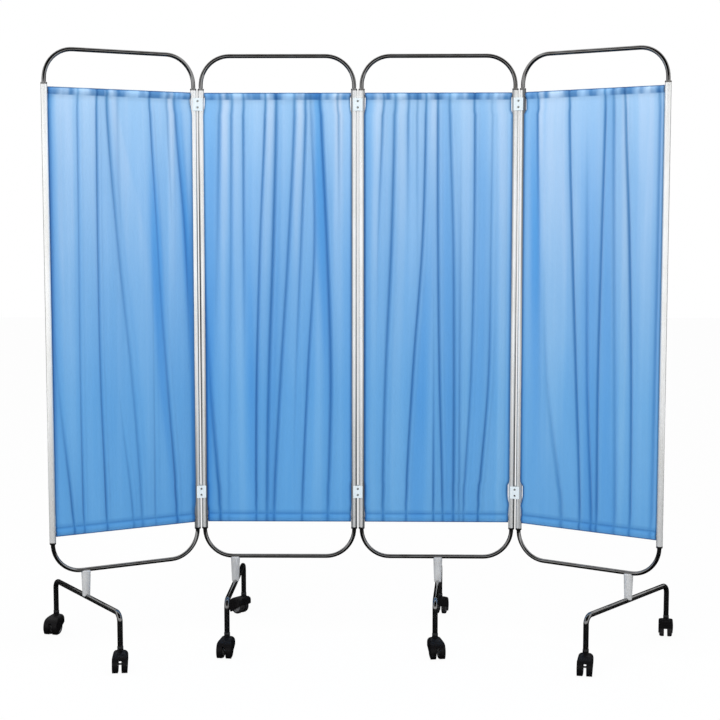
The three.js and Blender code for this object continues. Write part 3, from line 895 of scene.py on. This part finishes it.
LIGHT = {
    1: [
        ((0.835, 0.83, 0.82, 0.82), (0.875, 0.87, 0.86, 0.86), (1, 0.6, 0, 0)),
        (0.22, (0.32, 0.31, 0.31, 0.31), (0.5, 0.3, 0, 0)),
        ((0.05, 0.06, 0.08, 0.1), (0.17, 0.17, 0.16, 0.15), (0.4, 0.5, 0.4, 0.1)),
        ((0.43, 0.52, 0.62, 0.66), (0.47, 0.66, 0.72, 0.72), (0.5, 0.3, 0.3, 0.1)),
    ],
    2: [
        ((0.125, 0.11, 0.1, 0.1), (0.165, 0.15, 0.14, 0.14), (1, 0.8, 0.3, 0)),
        ((0.205, 0.2, 0.21, 0.22), (0.25, 0.25, 0.26, 0.26), (0.5, 0.6, 0.7, 0.3)),
        ((0.635, 0.6, 0.57, 0.57), (0.675, 0.64, 0.62, 0.62), (1, 0.5, 0.2, 0)),
        ((0.885, 0.88, 0.88, 0.88), 0.94, (1, 0.6, 0.4, 0.2)),
        ((0.435, 0.4, 0.38, 0.37), (0.475, 0.44, 0.41, 0.39), (0.7, 0.5, 0.2, 0.1)),
        ((0.76, 0.77, 0.75, 0.72), 0.8, (0, 0.2, 0.5, 0.4)),
    ],
    3: [
        ((0.45, 0.43, 0.42, 0.42), (0.49, 0.48, 0.45, 0.44), (0.9, 0.4, 0.2, 0)),
        ((0.91, 0.92, 0.92, 0.91), (0.96, 0.97, 0.97, 0.96), (0.4, 0.8, 0.9, 0.5)),
        ((0.23, 0.22, 0.19, 0.18), (0.28, 0.28, 0.25, 0.22), (0.7, 0.5, 0.3, 0.2)),
        ((0.07, 0.05, 0.04, 0.04), (0.12, 0.09, 0.08, 0.08), (0.6, 0.5, 0.3, 0.3)),
        ((0.66, 0.66, 0.67, 0.65), (0.72, 0.72, 0.72, 0.68), (0.3, 0.4, 0.4, 0.2)),
        (-0.1, 1.1, (0.04, 0.04, 0.12, 0.3)),
    ],
    4: [
        ((0.71, 0.72, 0.72, 0.72), (0.75, 0.76, 0.76, 0.75), (0.6, 0.8, 0.9, 0.4)),
        ((0.105, 0.13, 0.14, 0.14), (0.135, 0.16, 0.16, 0.16), (0.9, 0.4, 0.1, 0)),
        ((0.16, 0.16, 0.18, 0.2), (0.3, 0.32, 0.32, 0.26), (0.7, 0.8, 0.5, 0)),
        ((0.82, 0.84, 0.85, 0.85), 0.93, (0.4, 0.4, 0.3, 0.2)),
        (-0.1, 1.1, (0.05, 0.3, 0.38, 0.22)),
    ],
}

# The broad swells of each curtain: swells across, phase, and finer swells across
SWELLS = {1: (2.3, 0.4, 4.1), 2: (3.1, 1.9, 5.3), 3: (2.7, 3.3, 4.7), 4: (3.4, 5.1, 5.9)}
FINE_SWELL_SHARE = 0.35
SWELL_DRIFT = 0.35

# Depths, and how far from the seams folds and swells grow, in millimetres
FOLD_DEPTH = 5.2
RIDGE_HEIGHT = 2.4
SWELL_DEPTH = 2.6
FOLD_GROWTH = 60
SWELL_GROWTH = 260
POCKET_DIP = 0.35
POCKET_BULGE_SHARE = 0.14
GATHER_SHARE = 0.10
GATHER_RATE = 1040

# A crease, in its half widths: a valley, a raised lip to its right, and a sharp and a soft shadow
CREASE_REACH = 7
LIP_PLACE = 2.1
LIP_SPREAD = 1.6
LIP_SHARE = 0.4
SHADOW_PLACE = 0.2
SHADOW_NARROWNESS = 0.9
SHADOW_SHARE = 0.75
SOFT_PLACE = 0.8
SOFT_SPREAD = 2.6
SOFT_SHARE = 0.32
BAND_REACH = 0.06
LIGHT_SOFTNESS = 0.006
SHADE_BAND_SOFTNESS = 0.009

# The way of the cloth round each rod, as points of (depth, height)
HEM_PATH = [
    (1.2, 384), (3.4, 379), (4.9, BOTTOM_ROD), (3.2, 365.8), (1.0, 362), (0, HEM_FOLD),
    (-1.0, 362), (-3.2, 365.8), (-4.9, BOTTOM_ROD), (-3.4, 379), (SEAM_DEPTH, HEM_SEAM),
]
HEAD_PATH = [
    (SEAM_DEPTH, TOP_SEAM), (-3.4, 1666), (-4.9, TOP_ROD), (-3.2, 1678.4), (-0.9, 1681.4),
    (0, HEAD_FOLD), (0.9, 1681.4), (3.2, 1678.4), (4.9, TOP_ROD), (3.4, 1666), (1.2, 1662),
]
CLOTH_COLUMNS = 340
POCKET_ROWS = 20
DROP_ROWS = 84
CLOTH_ROWS = 2 * POCKET_ROWS + DROP_ROWS


def along_path(path, share):
    depths, heights = zip(*path)
    return smooth(depths, share), smooth(heights, share)


def lines_at(table, down):
    """The entries of a table of creases or bands, as they stand at one height."""
    return [
        [smooth(part, down) if isinstance(part, tuple) else part for part in entry]
        for entry in table
    ]


def crease_at(creases, across):
    """How deep the creases are here, and how dark their painted shade is."""
    depth, shade = 0.0, 0.0
    for line, strength, half_width in creases:
        away = (across - line) * 2 * CURTAIN_HALF / half_width
        if abs(away) > CREASE_REACH or strength <= 0:
            continue
        valley = math.exp(-away * away)
        lip = math.exp(-((away - LIP_PLACE) ** 2) / LIP_SPREAD)
        depth += strength * (valley - LIP_SHARE * lip)
        sharp = SHADOW_SHARE * math.exp(-((away + SHADOW_PLACE) ** 2) * SHADOW_NARROWNESS)
        soft = SOFT_SHARE * math.exp(-abs(away + SOFT_PLACE) / SOFT_SPREAD)
        shade += strength * (sharp + soft)
    return depth, min(shade, 1.0)


def band_at(bands, across, soft):
    """How strong the bands are here."""
    total = 0.0
    for left, right, strength in bands:
        if left - BAND_REACH < across < right + BAND_REACH and strength > 0:
            rise = 1 / (1 + math.exp((left - across) / soft))
            fall = 1 / (1 + math.exp((across - right) / soft))
            total += strength * rise * fall
    return min(total, 1.0)


def swell_at(number, across, up):
    first, phase, second = SWELLS[number]
    drift = SWELL_DRIFT * math.sin(phase) * up
    broad = math.sin(math.tau * (first * across + drift) + phase)
    fine = math.sin(math.tau * (second * across - 0.6 * drift) + 2 * phase)
    return (1 - FINE_SWELL_SHARE) * broad + FINE_SWELL_SHARE * fine


def edge_curl(height):
    """How far an edge has curled forward at a height, and how near a clip it is, from 0 to 1."""
    clips = [middle(f"hinge_23_{which}_clip").z / MM for which in ("upper", "lower")]
    from_clip = min(abs(height - clip) for clip in clips) - CLIP_HEIGHT / 2
    from_seam = min(height - HEM_SEAM, TOP_SEAM - height)
    return (
        gentle((from_seam - CURL_START) / CURL_RISE),
        gentle(1 - (from_clip - CLIP_CLEARANCE) / CLIP_BLEND),
    )


def edge_place(number, side, curl, by_clip):
    """How far out one edge ends, how far forward, and the share of that at this height."""
    if side not in SIDES_WITH_CLIPS[number]:
        by_clip = 0
    if side in SIDES_FOLDED_FLAT.get(number, ()):
        curl *= 1 - by_clip
    lap = curl * (EDGE_LAP - CLIP_LAP_LOSS * by_clip)
    tuck = CLIP_TUCK * by_clip * (1 - curl * curl)
    return CURTAIN_HALF + lap - tuck, EDGE_FORWARD + CLIP_LEAN * by_clip, curl


def seam_shade(height):
    """A darker line along the seam of the hem."""
    return SEAM_SHADE * max(0.0, 1 - abs(height - HEM_SEAM) / SEAM_LINE)


def flat_height(row, height):
    """The height of a point when the cloth lies flat."""
    if row < POCKET_ROWS / 2:
        return 2 * HEM_FOLD - height
    if row > 1.5 * POCKET_ROWS + DROP_ROWS:
        return 2 * HEAD_FOLD - height
    return height


def row_level(row):
    """The share up the open cloth of a row, and its (depth, height) before creasing."""
    up = min(max((row - POCKET_ROWS) / DROP_ROWS, 0.0), 1.0)
    if row <= POCKET_ROWS:
        return up, along_path(HEM_PATH, row / POCKET_ROWS)
    if row >= POCKET_ROWS + DROP_ROWS:
        return up, along_path(HEAD_PATH, (row - POCKET_ROWS - DROP_ROWS) / POCKET_ROWS)
    return up, (SEAM_DEPTH, HEM_SEAM + (TOP_SEAM - HEM_SEAM) * up)


def creased(number, across, up, level, valley, ridge):
    """The depth and height of a point with its folds and swells, or its gathers."""
    depth, height = level
    if 0 < up < 1:
        near = min(height - HEM_SEAM, TOP_SEAM - height)
        growth = min(1.0, near / FOLD_GROWTH) ** 0.6
        depth += (FOLD_DEPTH * valley - RIDGE_HEIGHT * ridge) * growth
        depth += SWELL_DEPTH * swell_at(number, across, up) * min(1.0, near / SWELL_GROWTH)
    elif up == 1:
        ripple = GATHER_SHARE * math.sin(GATHER_RATE * across) * ridge
        depth *= 1 + POCKET_BULGE_SHARE * max(valley, 0) - ripple
        height -= POCKET_DIP * max(valley, 0) * (height > TOP_ROD)
    return depth, height


def shape_row(number, row, verts, marks, flat_place):
    """Shapes and marks a row of points, and notes where it lies flat."""
    up, level = row_level(row)
    creases = lines_at(CREASES[number], 1 - up)
    band_shade = lines_at(SHADE_BANDS[number], 1 - up)
    light = lines_at(LIGHT[number], 1 - up)
    curl, by_clip = edge_curl(level[1])
    edges = {side: edge_place(number, side, curl, by_clip) for side in (-1, 1)}
    for vert in verts:
        across = vert.co.x + 0.5
        valley, shade = crease_at(creases, across)
        ridge = band_at(light, across, LIGHT_SOFTNESS)
        depth, height = creased(number, across, up, level, valley, ridge)
        half, forward, lean = edges[1 if across > 0.5 else -1]
        x = (2 * across - 1) * half
        edge = lean * gentle(1 - (half - abs(x)) / EDGE_CURL)
        vert.co = (x, depth * (1 - edge) - forward * edge, height)
        # Painted shade in the creases and shade bands, and painted light on the ridges
        vert[marks["crease"]] = max(shade, seam_shade(height))
        vert[marks["band_shade"]] = band_at(band_shade, across, SHADE_BAND_SOFTNESS)
        vert[marks["light"]] = ridge
        flat_place[vert] = (across * 2 * CURTAIN_HALF * MM, flat_height(row, height) * MM)


def curtain(number):
    """One continuous sheet, from the back of the hem round both rods and down the back again."""
    shape = bmesh.new()
    bmesh.ops.create_grid(shape, x_segments=CLOTH_COLUMNS, y_segments=CLOTH_ROWS, size=0.5)
    marks = {name: shape.verts.layers.float.new(name) for name in ("crease", "band_shade", "light")}
    cloth_map = shape.loops.layers.uv.new("cloth")
    by_row = {}
    for vert in shape.verts:
        by_row.setdefault(round((vert.co.y + 0.5) * CLOTH_ROWS), []).append(vert)
    flat_place = {}
    for row, verts in by_row.items():
        shape_row(number, row, verts, marks, flat_place)
    for face in shape.faces:
        for loop in face.loops:
            loop[cloth_map].uv = flat_place[loop.vert]
    shape.transform(panel_place(number) @ Matrix.Scale(MM, 4))
    node = f"panel_{number}_curtain"
    name = f"{node}_cloth"
    piece = placed(name, mesh_of(shape, name), CURTAIN_CLOTH, node)
    thick = piece.modifiers.new("cloth thickness", "SOLIDIFY")
    thick.thickness = CLOTH_THICKNESS * MM
    thick.offset = 0


# The feet

# The socket at each end of a foot bar, and the column, as (radius, height) points
SOCKET = [
    (STEM_RADIUS + 0.4, LEG_BOTTOM - 0.2), (FOOT_RADIUS - 0.4, LEG_BOTTOM - 0.2),
    (FOOT_RADIUS + 0.9, LEG_BOTTOM + 0.6), (FOOT_RADIUS + 0.9, LEG_BOTTOM + 5.5),
    (FOOT_RADIUS + 0.1, LEG_BOTTOM + 6.4), (STEM_RADIUS + 0.4, LEG_BOTTOM + 6.4),
]
COLUMN = [
    (0, FOOT_BAR + 2), (COLUMN_BOTTOM - 1.2, FOOT_BAR + 1.5), (COLUMN_BOTTOM - 0.2, FOOT_BAR + 3),
    (COLUMN_BOTTOM, FOOT_BAR + 5), (COLUMN_TOP - 0.1, BOTTOM_RAIL - 7),
    (COLUMN_TOP, BOTTOM_RAIL - 4), (COLUMN_TOP - 1.4, BOTTOM_RAIL - 1.6), (0, BOTTOM_RAIL - 1.2),
]


def foot_bar(number):
    """The bent bar of a foot, with a dark socket for the caster at each end."""
    shape = bmesh.new()
    arch(shape, FOOT_HALF, LEG_BOTTOM, FOOT_BAR, FOOT_BEND, FOOT_RADIUS, sides=28, steps=10)
    place = foot_place(number) @ Matrix.Rotation(math.pi / 2, 4, "Z")
    node = f"panel_{number}_foot_bar"
    finished(f"{node}_tube", shape, place, FOOT_CHROME, node)
    for end, x in zip(ENDS, (-FOOT_HALF, FOOT_HALF)):
        ring = bmesh.new()
        turned(ring, SOCKET, place=moved(x))
        name = f"{node}_{end}_socket"
        finished(name, ring, place, SOCKET_PLASTIC, node, stands=False)


def column(number):
    """The tapered column between the bottom rail and the foot bar."""
    shape = bmesh.new()
    turned(shape, COLUMN, steps=40)
    node = f"panel_{number}_foot_column"
    finished(f"{node}_tube", shape, column_place(number), COLUMN_STEEL, node)


# The casters

WELL_HALF = HOOD_HALF - HOOD_WALL
HUB_RADIUS = 18.3

# Turned outlines, as (radius, along) points. The cap is the end of the axle outside the hood
WELL = both_ends([
    (0, -WELL_HALF), (HOOD_WELL - 5, -WELL_HALF), (HOOD_WELL - 1.4, 1.4 - WELL_HALF),
    (HOOD_WELL, 5 - WELL_HALF),
])
NECK_AND_STEM = [
    (0, HOOD_TOP - 3), (NECK_RADIUS + 1.2, HOOD_TOP - 3), (NECK_RADIUS + 1.2, HOOD_TOP),
    (NECK_RADIUS, HOOD_TOP + 1.2), (NECK_RADIUS, LEG_BOTTOM - 1),
    (NECK_RADIUS - 0.8, LEG_BOTTOM - 0.4), (STEM_RADIUS, LEG_BOTTOM - 0.4),
    (STEM_RADIUS, LEG_BOTTOM + STEM_LENGTH), (STEM_RADIUS - 0.8, LEG_BOTTOM + STEM_LENGTH + 1),
    (0, LEG_BOTTOM + STEM_LENGTH + 1),
]
CAP = [(0, -0.9), (4.2, -0.9), (4.2, 0.1), (3.6, 0.55), (0, 0.7)]
AXLE = both_ends([(0, -AXLE_HALF), (AXLE_RADIUS, -AXLE_HALF)])
TREAD = [
    (HUB_RADIUS - 0.1, WHEEL_INNER + 0.8), (WHEEL_RADIUS - 2, WHEEL_INNER),
    (WHEEL_RADIUS - 0.5, WHEEL_INNER + 0.6), (WHEEL_RADIUS, WHEEL_INNER + 2),
    (WHEEL_RADIUS, WHEEL_OUTER - 4.6), (WHEEL_RADIUS - 0.7, WHEEL_OUTER - 2.4),
    (WHEEL_RADIUS - 2.4, WHEEL_OUTER - 0.7), (WHEEL_RADIUS - 4.6, WHEEL_OUTER),
    (HUB_RADIUS - 0.1, WHEEL_OUTER - 0.5),
]
HUB = [
    (3, WHEEL_INNER + 0.2), (7.5, WHEEL_INNER + 0.2), (8.4, WHEEL_INNER + 2.4),
    (15.4, WHEEL_INNER + 2.4), (16.6, WHEEL_INNER + 0.8), (HUB_RADIUS, WHEEL_INNER + 0.8),
    (HUB_RADIUS, WHEEL_OUTER - 0.5), (16.4, WHEEL_OUTER - 0.5), (15.2, WHEEL_OUTER - 2.6),
    (8.2, WHEEL_OUTER - 3.4), (7.2, WHEEL_OUTER - 0.4), (3, WHEEL_OUTER - 0.4),
]


def hood_shape():
    """A housing with a brow in front and a round back over the wheels."""
    tail = -math.degrees(math.asin((WHEEL_RADIUS - HOOD_SKIRT) / HOOD_OUTER))
    side = [(-HOOD_FRONT, HOOD_CHEEK)]
    side += arc(HOOD_BROW - HOOD_FRONT, HOOD_TOP - HOOD_BROW, HOOD_BROW, 180, 90, 6)
    side += [(NECK_RADIUS, HOOD_TOP)]
    side += arc(TRAIL, WHEEL_RADIUS, HOOD_OUTER, HOOD_CROWN, tail, 22)
    shoulder = HOOD_HALF - HOOD_SHOULDER
    face = [(-HOOD_HALF, 0), (HOOD_HALF, 0)]
    face += arc(shoulder, HOOD_TOP - HOOD_SHOULDER, HOOD_SHOULDER, 0, 90, 9)
    face += arc(-shoulder, HOOD_TOP - HOOD_SHOULDER, HOOD_SHOULDER, 90, 180, 9)
    well = bmesh.new()
    turned(well, WELL, steps=48, axis="Y", place=moved(TRAIL, 0, WHEEL_RADIUS))
    far = TRAIL + SLOT_REACH
    slot = [(TRAIL, 0), (far, 0), (far, HOOD_SLOT), (TRAIL, HOOD_SLOT)]
    return carved(prism(side, "Y", -HOOD_HALF, HOOD_HALF), [
        ("INTERSECT", prism(face, "X", -20, TRAIL + 40)),
        ("DIFFERENCE", well),
        ("DIFFERENCE", prism(slot, "Y", -WHEEL_INNER, WHEEL_INNER)),
    ])


def hood_with_stem():
    """The hood with its neck, stem and caps."""
    shape = hood_shape()
    turned(shape, NECK_AND_STEM)
    for side in (-1, 1):
        seat = moved(TRAIL, side * (HOOD_HALF - CAP_SEAT), WHEEL_RADIUS)
        outwards = Matrix.Rotation(-side * math.pi / 2, 4, "X")
        turned(shape, CAP, steps=24, place=seat @ outwards)
    return shape


def caster(number, end, hood):
    place = caster_place(number, end)
    name = f"caster_{number}_{end}"
    housing, wheels = f"{name}_housing", f"{name}_wheels"
    finished(f"{name}_hood", hood.copy(), place, HOOD_PLASTIC, housing)
    centre = moved(TRAIL, 0, WHEEL_RADIUS)
    treads = bmesh.new()
    hubs = bmesh.new()
    for side in (-1, 1):
        turned(treads, mirrored(TREAD, side), steps=48, axis="Y", place=centre)
        turned(hubs, mirrored(HUB, side), steps=48, axis="Y", place=centre)
    turned(hubs, AXLE, steps=20, axis="Y", place=centre)
    finished(f"{name}_tyres", treads, place, TYRE_RUBBER, wheels)
    finished(f"{name}_hubs", hubs, place, HUB_PLASTIC, wheels, stands=False)


# The clips between the panels

# A screw and its sink, as points of (radius, depth into the face of the clip)
SINK = [(0, -1), (3.6, -1), (3.6, 1.2), (0, 1.2)]
SCREW = [(0, 1.0), (1.3, 1.0), (1.3, 0.3), (2.5, 0.3), (3.1, 0.7), (3.1, 1.4), (0, 1.4)]


def clip_outline():
    """A block with open jaws round two posts, seen from above."""
    bore = POST_RADIUS + CLIP_GAP
    half_depth = bore + CLIP_WALL
    mouth = math.degrees(math.acos(CLIP_REACH / bore))
    outline = [(-CLIP_REACH, -half_depth), (HINGE_PITCH + CLIP_REACH, -half_depth)]
    outline += arc(HINGE_PITCH, 0, bore, -mouth, -360 + mouth, 20)
    outline += [(HINGE_PITCH + CLIP_REACH, half_depth), (-CLIP_REACH, half_depth)]
    return outline + arc(0, 0, bore, 180 - mouth, mouth - 180, 20)


def screw_places():
    """Two screws in the front of a clip and two in its back."""
    half_depth = POST_RADIUS + CLIP_GAP + CLIP_WALL
    places = []
    for turn in (0, math.pi):
        face_place = moved(HINGE_PITCH / 2) @ Matrix.Rotation(turn, 4, "Z") @ moved(0, -half_depth)
        for z in (-CLIP_HEIGHT / 4, CLIP_HEIGHT / 4):
            places.append(face_place @ moved(z=z))
    return places


def clip(name, which):
    """A block with eased edges that holds two posts, and its screws."""
    cuts = []
    screws = bmesh.new()
    for screw_place in screw_places():
        sink = bmesh.new()
        turned(sink, SINK, steps=28, axis="Y", place=screw_place)
        cuts.append(("DIFFERENCE", sink))
        turned(screws, SCREW, steps=24, axis="Y", place=screw_place)
    block = carved(prism(clip_outline(), "Z", -CLIP_HEIGHT / 2, CLIP_HEIGHT / 2), cuts)
    node = f"{name}_{which}_clip"
    for part in (block, screws):
        part.transform(moved(z=middle(node).z / MM))
    place = hinge_place(name)
    piece = finished(f"{node}_block", block, place, CLIP_PLASTIC, node)
    rounded = piece.modifiers.new("eased edges", "BEVEL")
    rounded.width = CLIP_ROUNDING * MM
    rounded.segments = 2
    rounded.limit_method = "ANGLE"
    rounded.angle_limit = math.radians(CLIP_EDGE_DEGREES)
    finished(f"{node}_screws", screws, place, ROD_STEEL, node, stands=False)


def build_screen():
    for number in PANELS:
        for side in ("left", "right"):
            post(number, side)
        for which in ("top", "bottom"):
            bow(number, which)
            rod(number, which)
        curtain(number)
        foot_bar(number)
        column(number)
    hood = hood_with_stem()
    for number in PANELS:
        for end in ENDS:
            caster(number, end, hood)
    hood.free()
    for name in HINGES:
        for which in ("upper", "lower"):
            clip(name, which)


# The studio, in metres

FLOOR_SIZE = 30
FLOOR_GLOW_SHARE = 0.955
SKY_LIGHT = 0.70

# Black cards: width, depth, centre, and a turn in degrees about an axis
DARK_CARDS = {
    "dark card over the front": (9, 5.56, (0, -2.8, 3.9), 37.7, "X"),
    "dark card on the floor": (9, 8.6, (0, -0.8, 0.003), 0, "X"),
    "dark card behind": (14, 2.4, (0, 3.5, 1.2), 90, "X"),
    "dark card on the left": (2.4, 3.4, (-6, 1.8, 1.2), 90, "Y"),
    "dark card on the right": (2.4, 3.4, (6, 1.8, 1.2), 90, "Y"),
}

# Lights: place, the point that it faces, width, depth, and power in watts
LIGHTS = {
    "soft light in front": ((-2.2, -4.6, 3.6), (0, 0, 1.1), 2.6, 2.6, 95),
    "soft light above": ((0.4, -0.6, 4.4), (0, 0, 0.8), 3.0, 2.0, 62),
}
CAMERA_PLACE = (0.0554, -4.5449, 1.3084)
CAMERA_DIP = 5.45
CAMERA_TURN = 0.64
CAMERA_LENS = 75.15
CAMERA_SENSOR = 36


def seen_directly(tree):
    """1 for camera, glossy and transmission rays, and 0 for those that light."""
    ray = tree.nodes.new("ShaderNodeLightPath").outputs
    seen = maths(tree, "MAXIMUM", ray["Is Camera Ray"], ray["Is Glossy Ray"])
    return maths(tree, "MAXIMUM", seen, ray["Is Transmission Ray"])


def studio_white():
    """White to the camera and in reflections, with a faint shadow."""
    material = bpy.data.materials.new("studio white")
    material.use_nodes = True
    tree = material.node_tree
    tree.nodes.clear()
    plain = add(tree, "BsdfDiffuse", {"Color": (0.9, 0.9, 0.9, 1)})
    white = add(tree, "Emission", {"Color": (1, 1, 1, 1), "Strength": 1.0})
    share = maths(tree, "MULTIPLY", seen_directly(tree), FLOOR_GLOW_SHARE)
    blend = add(tree, "MixShader", {0: share, 1: plain.outputs[0], 2: white.outputs[0]})
    out = tree.nodes.new("ShaderNodeOutputMaterial")
    tree.links.new(blend.outputs[0], out.inputs[0])
    return material


def stage_plane(name, material, width, depth, place):
    shape = bmesh.new()
    bmesh.ops.create_grid(shape, x_segments=1, y_segments=1, size=0.5)
    shape.transform(place @ Matrix.Diagonal((width, depth, 1, 1)))
    plane = in_scene(name, mesh_of(shape, name))
    plane.data.materials.append(material)
    return plane


def dark_card(name, material, width, depth, place):
    """A black card that only shows in reflections."""
    card = stage_plane(name, material, width, depth, place)
    for rays in ("camera", "diffuse", "transmission", "shadow"):
        setattr(card, f"visible_{rays}", False)


def area_light(name, place, aim, width, depth, power):
    data = bpy.data.lights.new(name, "AREA")
    data.shape = "RECTANGLE"
    data.size = width
    data.size_y = depth
    data.energy = power
    light = in_scene(name, data)
    light.location = place
    light.rotation_euler = (Vector(aim) - Vector(place)).to_track_quat("-Z", "Y").to_euler()
    light.visible_glossy = False


def build_sky():
    world = bpy.data.worlds.new("studio")
    bpy.context.scene.world = world
    world.use_nodes = True
    tree = world.node_tree
    tree.nodes.clear()
    strength = ranged(tree, seen_directly(tree), 0, 1, SKY_LIGHT, 1.0)
    sky = add(tree, "Background", {"Color": (1, 1, 1, 1), "Strength": strength})
    out = tree.nodes.new("ShaderNodeOutputWorld")
    tree.links.new(sky.outputs[0], out.inputs[0])


def build_camera():
    camera = bpy.data.cameras.new("camera")
    camera.sensor_width = CAMERA_SENSOR
    camera.lens = CAMERA_LENS
    view = in_scene("camera", camera)
    view.location = CAMERA_PLACE
    view.rotation_euler = (math.radians(90 - CAMERA_DIP), 0, math.radians(CAMERA_TURN))
    bpy.context.scene.camera = view
    bpy.context.scene.view_settings.view_transform = "Standard"


def build_studio():
    stage_plane("floor", studio_white(), FLOOR_SIZE, FLOOR_SIZE, Matrix.Identity(4))
    black = fresh_material("studio black", Base_Color=(0.004, 0.004, 0.004, 1), Roughness=1)[0]
    for name, (width, depth, centre, turn, axis) in DARK_CARDS.items():
        place = moved(*centre) @ Matrix.Rotation(math.radians(turn), 4, axis)
        dark_card(name, black, width, depth, place)
    build_sky()
    for name, light in LIGHTS.items():
        area_light(name, *light)
    build_camera()


build_screen()
build_studio()

bpy.context.view_layer.update()
